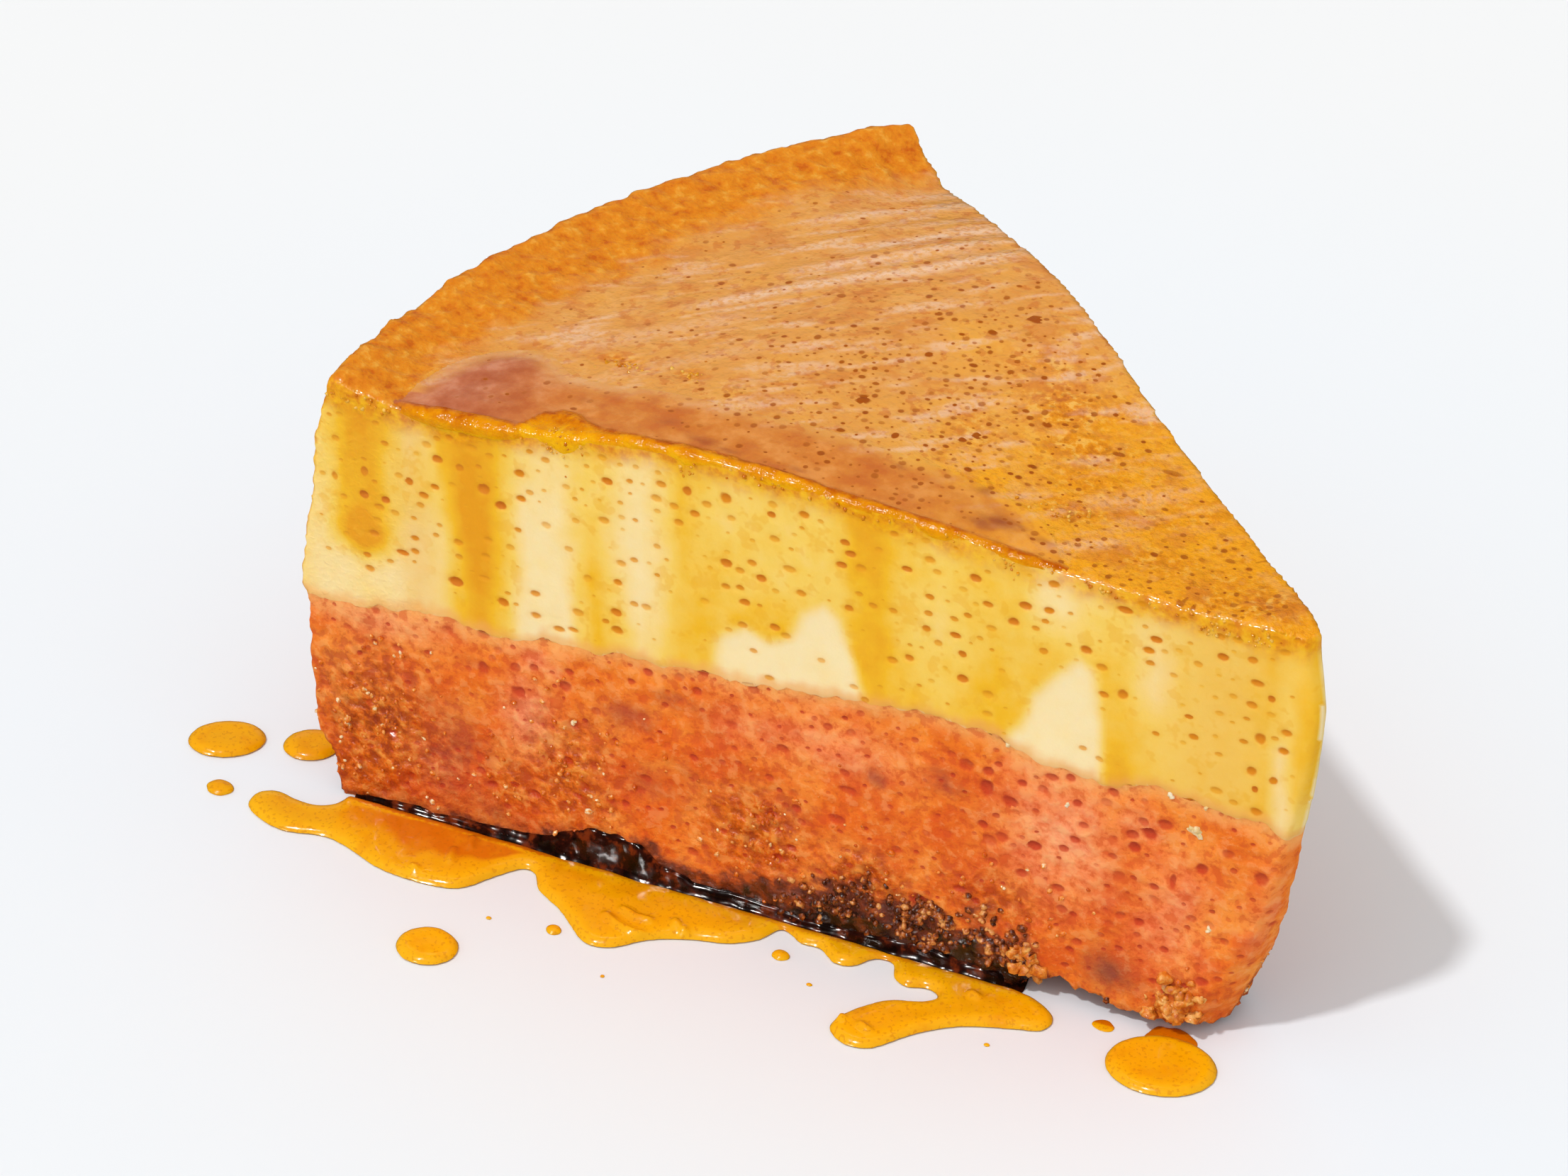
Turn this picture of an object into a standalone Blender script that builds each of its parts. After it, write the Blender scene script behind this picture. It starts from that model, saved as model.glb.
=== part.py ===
"""Creme caramel flan: one slice of a two-layer cake, with its puddle of caramel sauce.

A round cake of set custard over sponge was turned out of a tapered tin and cut into
eight. The slice lies on its sponge. Its tip points along +X and its round side along
-X. The cut face on the -Y side has the sauce at its foot.

Lengths are in millimetres up to the last step, which turns them into metres.
"""
import math

import bmesh
import bpy
from mathutils import Matrix, Vector, noise

MM = 0.001

# The round cake that the slice came from.
TOP_RADIUS = 109.8          # at the top edge, the narrow end of the tin
FOOT_RADIUS = 115.6         # of the custard, where it meets the sponge
SPONGE_RADIUS = 114.8
SLICES = 8
HALF_ANGLE = math.pi / SLICES
TAPER_POWER = 1.2           # the wall leans in faster near the top
SHOULDER = 1.4              # rounded top edge of the round side
RIM_BULGE = 1.7             # the round side swells out between its two corners
BACK_BULGE = 1.2            # the far cut face bows out, and blunts the tip

# Heights above the table.
RIM_HEIGHT = 53.2           # top surface beside the rim, where it is lowest
RIM_RIDGE = 0.9             # the rim stands above that at the cut faces
RIM_RIDGE_MIDDLE = 1.1      # and this much more between them
RIDGE_WIDTH = 7.0
DOME_HEIGHT = 3.9           # extra height of the swelling between tip and rim
DOME_CENTRE = 68.0          # distance from the tip
DOME_INNER_WIDTH = 40.0
DOME_OUTER_WIDTH = 20.0
LAYER_HEIGHT = 30.3         # top of the sponge at the tip
LAYER_FALL = 3.6            # it is lower at the round side
LAYER_FALL_START = 45.0
LAYER_SWELL = 2.2
LAYER_SWELL_CENTRE = 40.0
LAYER_SWELL_WIDTH = 14.0
LAYER_GAP = 0.3

# Wear at the base and the tip.
BASE_INSET = 3.7            # how far the round side draws in at the table
BASE_INSET_HEIGHT = 10.0
TIP_ROUND = 0.4             # radius of the tip's edge in the custard
TIP_WEAR = 5.8              # extra radius at the table, where crumb has come away
TIP_WEAR_HEIGHT = 40.0
TIP_WEAR_POWER = 2.0
TIP_FADE = 16.0             # the wear pushes the slice back over this distance
TEAR_START = 28.0           # the base is torn up between here and the tip
TEAR_STEP = 2.0             # its edge leans in by this much
TEAR_HEIGHT = 3.6
TEAR_END = 8.0
TEAR_END_HEIGHT = 1.6

# Unevenness of the surface.
WAVE_HEIGHT = 0.45
WAVE_LENGTH = 16.0

# Sauce.
SAUCE_THICKNESS = 1.3
SAUCE_EDGE = 0.45           # chamfer of the sauce's rounded rim
SAUCE_GAP = 0.3             # kept between the puddle and the cut face

ANGLE_STEPS = 20
TOP_STEPS = 24
LAYER_STEPS = 16
WALL_STEPS = 7
TIP_STEPS = 5
DROP_STEPS = 28
CURVE_STEPS = 3             # mesh points for each stretch between outline points
SHOULDER_TURNS = (math.radians(30.0), math.radians(60.0))
AXIS_RADIUS = 0.2           # the outline starts just clear of the axis it turns about

# The centre of area of the slice, seen from above, is this far from its tip.
TIP_X = 2.0 * TOP_RADIUS * math.sin(HALF_ANGLE) / (3.0 * HALF_ANGLE)

# The puddle's outline: distance from the tip along the cut face, then out from the face.
POOL_OUTLINE = (
    (111.0, SAUCE_GAP), (111.6, 2.4), (113.6, 3.5), (116.0, 3.4), (118.6, 2.9), (120.6, 4.2),
    (120.4, 6.6), (117.6, 8.3), (114.2, 8.9), (109.8, 7.9), (106.0, 8.8), (101.5, 10.4),
    (96.0, 10.7), (91.8, 9.7), (89.3, 6.3), (87.2, 3.8), (85.5, 4.1), (83.9, 6.4),
    (80.5, 8.3), (77.8, 10.5), (75.2, 12.4), (72.2, 11.9), (69.3, 9.1), (65.2, 7.1),
    (61.2, 6.0), (58.4, 3.9), (57.2, 1.5), (55.9, 1.7), (54.0, 2.7), (51.9, 2.6),
    (49.6, 4.2), (47.4, 3.7), (45.9, 1.7), (43.8, 1.6), (42.9, 3.6), (41.2, 4.6),
    (38.9, 3.9), (37.2, 4.8), (38.5, 6.2), (41.9, 7.5), (44.9, 11.0), (45.7, 14.0),
    (43.2, 15.8), (40.2, 15.1), (37.2, 11.3), (33.4, 8.2), (28.6, 6.3), (25.2, 5.1),
    (25.0, 2.6), (27.6, 0.9), (30.5, SAUCE_GAP),
)

# Larger drops: distance along the face, out from it, half length, half width, turn.
DROPS = {
    "sauce_drop_tip": (12.0, 5.2, 5.9, 4.7, 10.0),
    "sauce_drop_front": (90.2, 20.0, 3.5, 3.1, 0.0),
    "sauce_drop_left": (119.6, -6.2, 3.3, 2.9, 20.0),
    "sauce_drop_far_left": (128.9, -3.1, 4.5, 3.4, 25.0),
}

# Colour, roughness and metallic value of each sub-part.
LOOKS = {
    "custard": ((0.93, 0.66, 0.22, 1.0), 0.35, 0.0),
    "sponge": ((0.78, 0.25, 0.07, 1.0), 0.65, 0.0),
    "sauce": ((0.88, 0.42, 0.02, 1.0), 0.10, 0.0),
}


def swell(distance, centre, width):
    """A smooth hump, 1 at its centre and falling away on both sides."""
    return math.exp(-((distance - centre) / width) ** 2)


def smooth(value):
    """Ease from 0 to 1."""
    value = min(max(value, 0.0), 1.0)
    return value * value * (3.0 - 2.0 * value)


def top_height(distance):
    width = DOME_INNER_WIDTH if distance < DOME_CENTRE else DOME_OUTER_WIDTH
    dome = DOME_HEIGHT * swell(distance, DOME_CENTRE, width)
    return RIM_HEIGHT + dome + RIM_RIDGE * swell(distance, TOP_RADIUS, RIDGE_WIDTH)


def layer_height(distance):
    fall = smooth((distance - LAYER_FALL_START) / (FOOT_RADIUS - LAYER_FALL_START))
    hump = swell(distance, LAYER_SWELL_CENTRE, LAYER_SWELL_WIDTH)
    return LAYER_HEIGHT - LAYER_FALL * fall + LAYER_SWELL * hump


def custard_radius(height):
    """Radius of the round side where the tapered tin shaped the custard."""
    foot = layer_height(FOOT_RADIUS)
    rise = (height - foot) / (RIM_HEIGHT - foot)
    rise = min(max(rise, 0.0), 1.0)
    return FOOT_RADIUS - (FOOT_RADIUS - TOP_RADIUS) * rise ** TAPER_POWER


def sponge_radius(height):
    """Radius of the round side of the sponge, drawn in at the table."""
    return SPONGE_RADIUS - BASE_INSET * (1.0 - smooth(height / BASE_INSET_HEIGHT))


def tip_round(height):
    """Radius of the tip's upright edge: it grows towards the table."""
    drop = min(max(1.0 - height / TIP_WEAR_HEIGHT, 0.0), 1.0)
    return TIP_ROUND + TIP_WEAR * drop ** TIP_WEAR_POWER


def tip_distance(height, angle):
    """How far the rounded tip lies from the point where the cut planes would meet."""
    radius = tip_round(height)
    centre = radius / math.sin(HALF_ANGLE)
    across = min(centre * math.sin(abs(angle)), radius)
    return centre * math.cos(angle) - math.sqrt(radius ** 2 - across ** 2)


def spread(start, end, steps):
    """Evenly spaced values from start to end, both included."""
    return [start + (end - start) * step / steps for step in range(steps + 1)]


def custard_profile():
    """The custard's outline on a cut face, as (distance from the axis, height)."""
    foot = layer_height(FOOT_RADIUS) + LAYER_GAP
    rim = top_height(TOP_RADIUS)
    points = []
    for distance in spread(AXIS_RADIUS, FOOT_RADIUS, LAYER_STEPS):
        points.append((distance, layer_height(distance) + LAYER_GAP))
    for height in spread(foot, rim - SHOULDER, WALL_STEPS)[1:]:
        points.append((custard_radius(height), height))
    for turn in SHOULDER_TURNS:
        inward = SHOULDER * (1.0 - math.cos(turn))
        points.append((TOP_RADIUS - inward, rim - SHOULDER * (1.0 - math.sin(turn))))
    for distance in spread(TOP_RADIUS - SHOULDER, AXIS_RADIUS, TOP_STEPS):
        points.append((distance, top_height(distance)))
    for height in spread(top_height(0.0), layer_height(0.0) + LAYER_GAP, TIP_STEPS)[1:-1]:
        points.append((AXIS_RADIUS, height))
    return points


def sponge_profile():
    """The sponge's outline on a cut face, with the torn base near the tip."""
    points = [(TEAR_START, 0.0)]
    top = layer_height(SPONGE_RADIUS)
    for height in spread(0.0, BASE_INSET_HEIGHT, WALL_STEPS):
        points.append((sponge_radius(height), height))
    for height in spread(BASE_INSET_HEIGHT, top, WALL_STEPS)[1:]:
        points.append((sponge_radius(height), height))
    for distance in spread(SPONGE_RADIUS, AXIS_RADIUS, LAYER_STEPS)[1:]:
        points.append((distance, layer_height(distance)))
    for height in spread(layer_height(0.0), TEAR_END_HEIGHT, TIP_STEPS)[1:]:
        points.append((AXIS_RADIUS, height))
    points.append((TEAR_END, TEAR_END_HEIGHT))
    points.append((TEAR_START - TEAR_STEP, TEAR_HEIGHT))
    return points


def material(name):
    colour, roughness, metallic = LOOKS[name]
    made = bpy.data.materials.new(name)
    made.use_nodes = True
    shader = made.node_tree.nodes["Principled BSDF"]
    shader.inputs["Base Color"].default_value = colour
    shader.inputs["Roughness"].default_value = roughness
    shader.inputs["Metallic"].default_value = metallic
    return made


def finish(bm, name, look):
    """Turn a bmesh in millimetres into a named object in metres."""
    bmesh.ops.recalc_face_normals(bm, faces=bm.faces)
    bmesh.ops.scale(bm, vec=(MM, MM, MM), verts=bm.verts)
    mesh = bpy.data.meshes.new(name)
    bm.to_mesh(mesh)
    bm.free()
    mesh.materials.append(look)
    mesh.shade_smooth()
    mesh.set_sharp_from_angle(angle=math.radians(35.0))
    made = bpy.data.objects.new(name, mesh)
    bpy.context.scene.collection.objects.link(made)
    return made


def turned_slice(profile):
    """Spin an outline about the cake's axis, then give it the slice's own shape."""
    bm = bmesh.new()
    corners = [bm.verts.new((-distance, 0.0, height)) for distance, height in profile]
    face = bm.faces.new(corners)
    axis = Vector((0.0, 0.0, 1.0))
    start = Matrix.Rotation(HALF_ANGLE, 3, axis)
    bmesh.ops.rotate(bm, verts=bm.verts, cent=(0.0, 0.0, 0.0), matrix=start)
    bmesh.ops.spin(
        bm, geom=[face] + list(face.edges) + corners, cent=(0.0, 0.0, 0.0), axis=axis,
        angle=-2.0 * HALF_ANGLE, steps=ANGLE_STEPS, use_duplicate=False,
    )
    for vert in bm.verts:
        vert.co = slice_point(vert.co)
    bmesh.ops.translate(bm, verts=bm.verts, vec=(TIP_X, 0.0, 0.0))
    return bm


def slice_point(spun):
    """Move a point of the exact turned slice to where the uneven slice has it."""
    distance = math.hypot(spun.x, spun.y)
    angle = math.atan2(spun.y, -spun.x)
    side = angle / HALF_ANGLE               # -1 at the near cut face, 1 at the far one
    outer = (distance / TOP_RADIUS) ** 4
    middle = 1.0 - side ** 4
    tip = tip_distance(spun.z, angle)
    reach = distance + tip * math.exp(-distance / TIP_FADE) + RIM_BULGE * outer * middle
    bow = BACK_BULGE * (0.5 + 0.5 * side) ** 2 * max(1.0 - math.sqrt(outer), 0.0)
    layer = layer_height(distance) + LAYER_GAP
    share = max(spun.z - layer, 0.0) / (top_height(distance) - layer)
    lift = RIM_RIDGE_MIDDLE * middle * swell(distance, TOP_RADIUS, RIDGE_WIDTH) * share
    wave = WAVE_HEIGHT * noise.noise(spun / WAVE_LENGTH)
    return Vector((
        -reach * math.cos(angle) + bow * math.sin(HALF_ANGLE),
        reach * math.sin(angle) + bow * math.cos(HALF_ANGLE),
        spun.z + lift + wave * share,
    ))


def custard():
    return finish(turned_slice(custard_profile()), "custard", material("custard"))


def sponge():
    return finish(turned_slice(sponge_profile()), "sponge", material("sponge"))


def beside_face(along, out):
    """A point on the table, from its distance along the cut face and out from it."""
    turn = math.pi + HALF_ANGLE
    face = Vector((math.cos(turn), math.sin(turn), 0.0))
    away = Vector((-math.sin(turn), math.cos(turn), 0.0))
    return Vector((TIP_X, 0.0, 0.0)) + face * along + away * out


def smooth_outline(points):
    """A closed curve through the points, with a few steps in each stretch."""
    count = len(points)
    curve = []
    for index in range(count - 1):
        before = points[index - 1] if index else points[0]
        start, end = points[index], points[index + 1]
        after = points[index + 2] if index + 2 < count else points[-1]
        for step in range(CURVE_STEPS):
            share = step / CURVE_STEPS
            curve.append(between(before, start, end, after, share))
    curve.append(points[-1])
    return curve


def between(before, start, end, after, share):
    """A point of the Catmull-Rom curve from start to end."""
    square, cube = share ** 2, share ** 3
    return (
        0.5 * (2.0 * start + (end - before) * share
               + (2.0 * before - 5.0 * start + 4.0 * end - after) * square
               + (3.0 * start - before - 3.0 * end + after) * cube)
    )


def sauce_slab(outline, name, look):
    """Raise an outline on the table into a thin layer with a chamfered rim."""
    bm = bmesh.new()
    face = bm.faces.new([bm.verts.new(point) for point in outline])
    raised = bmesh.ops.extrude_face_region(bm, geom=[face])["geom"]
    lifted = [item for item in raised if isinstance(item, bmesh.types.BMVert)]
    bmesh.ops.translate(bm, verts=lifted, vec=(0.0, 0.0, SAUCE_THICKNESS - SAUCE_EDGE))
    lid = [item for item in raised if isinstance(item, bmesh.types.BMFace)]
    bmesh.ops.inset_region(
        bm, faces=lid, thickness=SAUCE_EDGE, depth=SAUCE_EDGE, use_even_offset=False,
    )
    return finish(bm, name, look)


def sauce_pool(look):
    corners = [beside_face(along, out) for along, out in POOL_OUTLINE]
    return sauce_slab(smooth_outline(corners), "sauce_pool", look)


def sauce_drops(look):
    for name, (along, out, length, width, turn) in DROPS.items():
        centre = beside_face(along, out)
        twist = Matrix.Rotation(math.pi + HALF_ANGLE + math.radians(turn), 3, "Z")
        outline = []
        for step in range(DROP_STEPS):
            angle = 2.0 * math.pi * step / DROP_STEPS
            reach = Vector((length * math.cos(angle), width * math.sin(angle), 0.0))
            outline.append(centre + twist @ reach)
        sauce_slab(outline, name, look)


def main():
    for old in list(bpy.data.objects):
        bpy.data.objects.remove(old, do_unlink=True)
    custard()
    sponge()
    sauce = material("sauce")
    sauce_pool(sauce)
    sauce_drops(sauce)


main()
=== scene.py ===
# %% [markdown]
# # A slice of creme caramel flan on sponge
#
# The real thing is one eighth of a round cake: set custard with a skin of caramel on
# top, a layer of coral sponge below it, and a puddle of sauce at one cut face. The CAD
# solids give its size and place. This lesson gives each of them its surface, working
# in millimetres and turning every finished mesh into metres at the end.

# %% Load the fixed frame
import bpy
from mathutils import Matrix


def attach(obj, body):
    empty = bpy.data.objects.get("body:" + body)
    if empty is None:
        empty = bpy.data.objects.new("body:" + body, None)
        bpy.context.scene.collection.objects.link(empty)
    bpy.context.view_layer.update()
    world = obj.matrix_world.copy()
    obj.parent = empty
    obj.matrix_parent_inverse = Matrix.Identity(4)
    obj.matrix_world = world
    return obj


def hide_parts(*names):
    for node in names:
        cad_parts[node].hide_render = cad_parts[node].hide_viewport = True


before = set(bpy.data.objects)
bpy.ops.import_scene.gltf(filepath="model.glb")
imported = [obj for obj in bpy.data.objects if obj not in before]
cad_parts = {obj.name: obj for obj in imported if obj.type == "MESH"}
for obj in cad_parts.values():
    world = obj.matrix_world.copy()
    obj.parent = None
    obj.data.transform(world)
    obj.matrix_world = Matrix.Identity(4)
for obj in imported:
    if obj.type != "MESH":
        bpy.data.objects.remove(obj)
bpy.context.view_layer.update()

# %% [markdown]
# ## Directions on the slice
#
# A place on a cut face is easiest to give as a cook would: so far along the face from
# the tip, and so high above the table. Two unit vectors for each cut face, one along it
# and one pointing out of it, turn such a pair into a point and back again.

# %% Directions and small helpers
import math
import random
from types import SimpleNamespace

import bmesh
import bpy
import numpy as np
from mathutils import Matrix, Vector, kdtree, noise
from mathutils.bvhtree import BVHTree

MM = 0.001
HALF_ANGLE = math.pi / 8.0
TIP = np.array([71.33, 0.0, 0.0])
NEAR_ALONG = np.array([-math.cos(HALF_ANGLE), -math.sin(HALF_ANGLE), 0.0])
NEAR_OUT = np.array([math.sin(HALF_ANGLE), -math.cos(HALF_ANGLE), 0.0])
FAR_ALONG = NEAR_ALONG * (1.0, -1.0, 1.0)
FAR_OUT = NEAR_OUT * (1.0, -1.0, 1.0)
UP = np.array([0.0, 0.0, 1.0])


def ease(value, low, high):
    """0 at or under low, 1 at or over high, and a smooth rise between them."""
    share = np.clip((value - low) / (high - low), 0.0, 1.0)
    return share * share * (3.0 - 2.0 * share)


def hump(value, centre, width):
    """1 at the centre and falling away smoothly on both sides."""
    return np.exp(-(((value - centre) / width) ** 2))


def rough(points, size, seed, octaves=1):
    """Smooth random unevenness from -1 to 1, with lumps of the given size."""
    moved = points / size + np.array([7.31, -3.97, 5.43]) * seed
    if octaves == 1:
        return np.array([noise.noise(point) for point in moved.tolist()])
    return np.array([noise.fractal(point, 1.0, 2.0, octaves) for point in moved.tolist()])


def grains(points, size, seed):
    """Packed round grains: positive on each grain and negative between them."""
    moved = points / size + np.array([2.17, 9.41, -4.73]) * seed
    return np.array([0.45 - noise.voronoi(point)[0][0] for point in moved.tolist()])


def measure(points):
    """Where points lie: along and out from both cut faces, and out from the tip."""
    from_tip = points - TIP
    reach = np.hypot(from_tip[:, 0], from_tip[:, 1])
    return SimpleNamespace(near_along=from_tip @ NEAR_ALONG, near_out=from_tip @ NEAR_OUT,
        far_along=from_tip @ FAR_ALONG, far_out=from_tip @ FAR_OUT,
        reach=reach, height=points[:, 2],
        outward=from_tip * (1.0, 1.0, 0.0) / np.maximum(reach, 0.01)[:, None],)


def vertex_array(mesh, normals=False):
    """The vertices of a mesh, or their normals, as rows of three numbers."""
    values = np.zeros(len(mesh.vertices) * 3, np.float32)
    if normals:
        mesh.vertex_normals.foreach_get("vector", values)
    else:
        mesh.vertices.foreach_get("co", values)
    return values.reshape(-1, 3).astype(float)


def move_vertices(mesh, points):
    mesh.vertices.foreach_set("co", points.astype(np.float32).ravel())
    mesh.update()


def write_values(mesh, name, values):
    """Keep one number for each vertex, for a material to read by name."""
    made = mesh.attributes.new(name, "FLOAT", "POINT")
    made.data.foreach_set("value", values.astype(np.float32))


def point_tree(points):
    tree = kdtree.KDTree(len(points))
    for index, point in enumerate(points):
        tree.insert(point, index)
    tree.balance()
    return tree


def read_table(table, places, column=1):
    """Values between the rows of a table, whose first column holds the places."""
    columns = list(zip(*table))
    return np.interp(places, columns[0], columns[column])


print("near cut face runs along", NEAR_ALONG.round(3), "and faces", NEAR_OUT.round(3))

# %% [markdown]
# ## One even skin over both layers
#
# The CAD slice has long thin triangles, which can't carry fine detail. A voxel remesh
# wraps any closed solid in small even squares, so the two layers are joined first and
# wrapped together. The sponge's top is lifted a little, which closes the narrow gap that
# the CAD keeps between the layers. A copy of a CAD mesh is loose triangles, so its
# corners are merged before anything else.

# %% Join the layers and remesh them
VOXEL = 0.47
OVERLAP = 0.7
FLAT_ENOUGH = 0.6
MERGE = 0.0001


def solid_copy(node):
    bm = bmesh.new()
    bm.from_mesh(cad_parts[node].data)
    bmesh.ops.scale(bm, vec=(1.0 / MM,) * 3, verts=bm.verts)
    bmesh.ops.remove_doubles(bm, verts=bm.verts, dist=MERGE)
    bm.normal_update()
    return bm


def even_mesh(bm, size, name):
    """Wrap a closed bmesh in even squares of about the given size."""
    mesh = bpy.data.meshes.new(name)
    bm.to_mesh(mesh)
    bm.free()
    holder = bpy.data.objects.new(name, mesh)
    bpy.context.scene.collection.objects.link(holder)
    remesh = holder.modifiers.new("even", "REMESH")
    remesh.mode = "VOXEL"
    remesh.voxel_size = size
    ready = holder.evaluated_get(bpy.context.evaluated_depsgraph_get())
    made = bpy.data.meshes.new_from_object(ready)
    bpy.data.objects.remove(holder)
    return made


custard_solid = solid_copy("custard")
sponge_solid = solid_copy("sponge")
for vert in sponge_solid.verts:
    if vert.normal.z > FLAT_ENOUGH:
        vert.co.z += OVERLAP
lower = bpy.data.meshes.new("lower")
sponge_solid.to_mesh(lower)
sponge_solid.free()
custard_solid.from_mesh(lower)
slice_mesh = even_mesh(custard_solid, VOXEL, "slice")
print("even skin:", len(slice_mesh.vertices), "vertices")

# %% [markdown]
# ## Where the two layers meet
#
# The custard was poured over a crumbly sponge, so the line between them wanders up and
# down and is ragged at the scale of a crumb. Its height is read from a short list by
# distance from the tip, and two sizes of unevenness are added.

# %% The line between custard and sponge
LINE_REACH = (2, 5, 10, 14.5, 19, 24, 29, 34, 43, 48, 53, 58,
              63, 68, 77, 82, 87, 92, 96, 101, 106, 111)
LINE_HEIGHT = (29, 29.9, 30.9, 31.4, 30.4, 29.9, 30.4, 32.5, 32.8, 32.3, 31.4, 30.9,
               30.4, 29.9, 29.4, 29, 28.5, 27.6, 28, 27.9, 27, 26.5)


def layer_line(points):
    """Height of the line between the layers, above or below each point."""
    flat = points * (1.0, 1.0, 0.0)
    at = measure(flat)
    away = ease(-at.near_out, 4.0, 30.0)
    height = np.interp(at.reach, LINE_REACH, LINE_HEIGHT)
    height += away * 1.1 * rough(flat, 15.0, 3)
    return height + 0.62 * rough(flat, 2.3, 1) + 0.5 * rough(flat, 1.1, 2)


points = vertex_array(slice_mesh)
line = layer_line(points)
print("the line runs from", round(line.min(), 1), "to", round(line.max(), 1), "mm high")

# %% [markdown]
# ## Which side is which
#
# Each vertex is given a share of every side of the slice: the two cut faces, the round
# side, the top and the underside. The shares come from the direction the skin faces, so
# they change smoothly round each edge and no border shows.

# %% Shares of each side
FACING = (0.45, 0.8)


def sides(points, normals):
    """How far each point belongs to each side of the slice, from 0 to 1."""
    at = measure(points)
    ones = np.ones((len(points), 1))

    def facing(direction):
        return ease(np.einsum("ij,ij->i", normals, ones * direction), *FACING)

    return SimpleNamespace(at=at, near=facing(NEAR_OUT), far=facing(FAR_OUT),
                           top=facing(UP), rim=facing(at.outward))


normals = vertex_array(slice_mesh, normals=True)
side = sides(points, normals)
print("share of skin that is top:", round(float(side.top.mean()), 3))

# %% [markdown]
# ## Outlines
#
# Pale windows in the custard, puddles and films of caramel are all drawn as closed
# outlines on a flat strip. Three small functions are enough for them: one rounds an
# outline, one measures the distance to it, and one tells inside from outside.

# %% Working with outlines


def smooth_outline(corners, steps=4):
    """A closed curve that passes through every corner."""
    corners = np.array(corners, float)
    before, after = np.roll(corners, 1, 0), np.roll(corners, -1, 0)
    beyond = np.roll(corners, -2, 0)
    curve = []
    for step in range(steps):
        t = step / steps
        curve.append(0.5 * (2 * corners + (after - before) * t
                            + (2 * before - 5 * corners + 4 * after - beyond) * t ** 2
                            + (3 * corners - before - 3 * after + beyond) * t ** 3))
    return np.stack(curve, axis=1).reshape(-1, 2)


def outline_distance(places, outline):
    """Nearest place on a closed outline, and the distance to it."""
    start, step = outline, np.roll(outline, -1, 0) - outline
    away = places[:, None, :] - start[None, :, :]
    share = np.clip((away * step).sum(2) / (step ** 2).sum(1), 0.0, 1.0)
    nearest = start + share[..., None] * step
    gaps = np.linalg.norm(places[:, None, :] - nearest, axis=2)
    best = gaps.argmin(1)
    rows = np.arange(len(places))
    return nearest[rows, best], gaps[rows, best]


def inside_outline(places, outline):
    x, y = places[:, 0:1], places[:, 1:2]
    x1, y1 = outline[:, 0], outline[:, 1]
    x2, y2 = np.roll(x1, -1), np.roll(y1, -1)
    crosses = ((y1 > y) != (y2 > y)) & (x < (x2 - x1) * (y - y1) / (y2 - y1 + 1e-12) + x1)
    return crosses.sum(1) % 2 == 1


def depth_inside(places, outline):
    """Distance to an outline, positive inside it and negative outside."""
    _, gap = outline_distance(places, outline)
    return np.where(inside_outline(places, outline), gap, -gap)


print("a rounded square has", len(smooth_outline(((0, 0), (1, 0), (1, 1), (0, 1)))), "corners")

# %% [markdown]
# ## Caramel soaking down the custard
#
# Caramel ran down the cut face in streaks and left paler custard between them. An image
# could say where, but numbers at places along the face keep the material procedural. Four
# rows of them, from high on the face to low, say how deeply it is stained.

# %% Rows of stain on the near face
STAIN_ROWS = (
    (51, (
        (0, .7), (2, .6), (4, .6), (5, .7), (7, .6), (10, .55), (14, .5), (16.5, .38),
        (18, .42), (20, .5), (22, .45), (25, .4), (27, .2), (29, .25), (31, .55), (35, .62),
        (38, .52), (41, .5), (44, .6), (47, .8), (49, .85), (51, .6), (53, .5), (57, .52),
        (61, .48), (64, .48), (67, .6), (69, .68), (71, .42), (73.5, .2), (75.5, .3),
        (78, .5), (81, .48), (83, .3), (86, .28), (88, .45), (91, .8), (94, .9), (97, .75),
        (99, .42), (101, .35), (103, .65), (106, .95), (108, .9), (110, .6), (113, .5))),
    (44, (
        (0, .75), (1.6, .7), (2.8, .5), (5.5, .7), (8, .6), (14, .52), (15.5, .35), (17, .18),
        (18.5, .35), (20, .6), (22, .66), (25, .5), (27, .62), (30, .6), (33, .62),
        (36, .58), (40, .42), (44, .55), (47, .78), (49.5, .7), (51, .55), (54, .48),
        (58, .52), (62, .55), (66, .6), (69, .62), (71, .35), (73.5, .1), (76, .25),
        (79, .55), (81.5, .42), (83.5, .12), (87, .12), (89, .45), (91.5, .85), (94, .92),
        (96, .7), (98, .5), (101, .5), (103.5, .6), (106, .85), (109, .75), (111, .45),
        (114, .4))),
    (37.5, (
        (0, .75), (1.6, .65), (3.5, .2), (5, .6), (8, .55), (14, .52), (18, .6), (20, .66),
        (22, .68), (26, .7), (31, .7), (35, .68), (40, .5), (44, .6), (47, .8), (50, .7),
        (53, .68), (57, .74), (61, .7), (64, .62), (67, .68), (70, .56), (72, .25), (74, .1),
        (76.5, .4), (79.5, .72), (81.5, .45), (83.5, .08), (87, .1), (89, .5), (92, .9),
        (95, .75), (97.5, .35), (101, .22), (104, .6), (107, .92), (110, .62), (112, .32),
        (115, .3))),
    (31.5, (
        (0, .6), (1.5, .45), (3, .15), (5, .72), (8, .6), (14, .55), (18, .65), (20, .82),
        (22, .78), (26, .7), (33, .7), (36, .7), (40, .62), (44, .7), (47, .78), (50, .7), (60, .68),
        (65, .58), (67, .66), (69, .62), (71.5, .45), (74, .28), (76, .5), (79, .75),
        (81.5, .45), (83, .06), (88, .1), (90, .6), (93, .85), (96, .65), (98, .28),
        (103, .15), (107, .25), (110, .18), (113, .2), (116, .35))),
)
print("stain rows at", [level for level, _ in STAIN_ROWS], "mm above the table")

# %% [markdown]
# ## Pale windows and dark bulbs
#
# Where the streaks flow round a patch of custard it stays pale, with a sharp edge. Two
# such windows are closed outlines, and the stain fades out inside them. Here and there a
# streak ends in a bulb, which is a soft oval of extra stain.

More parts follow.
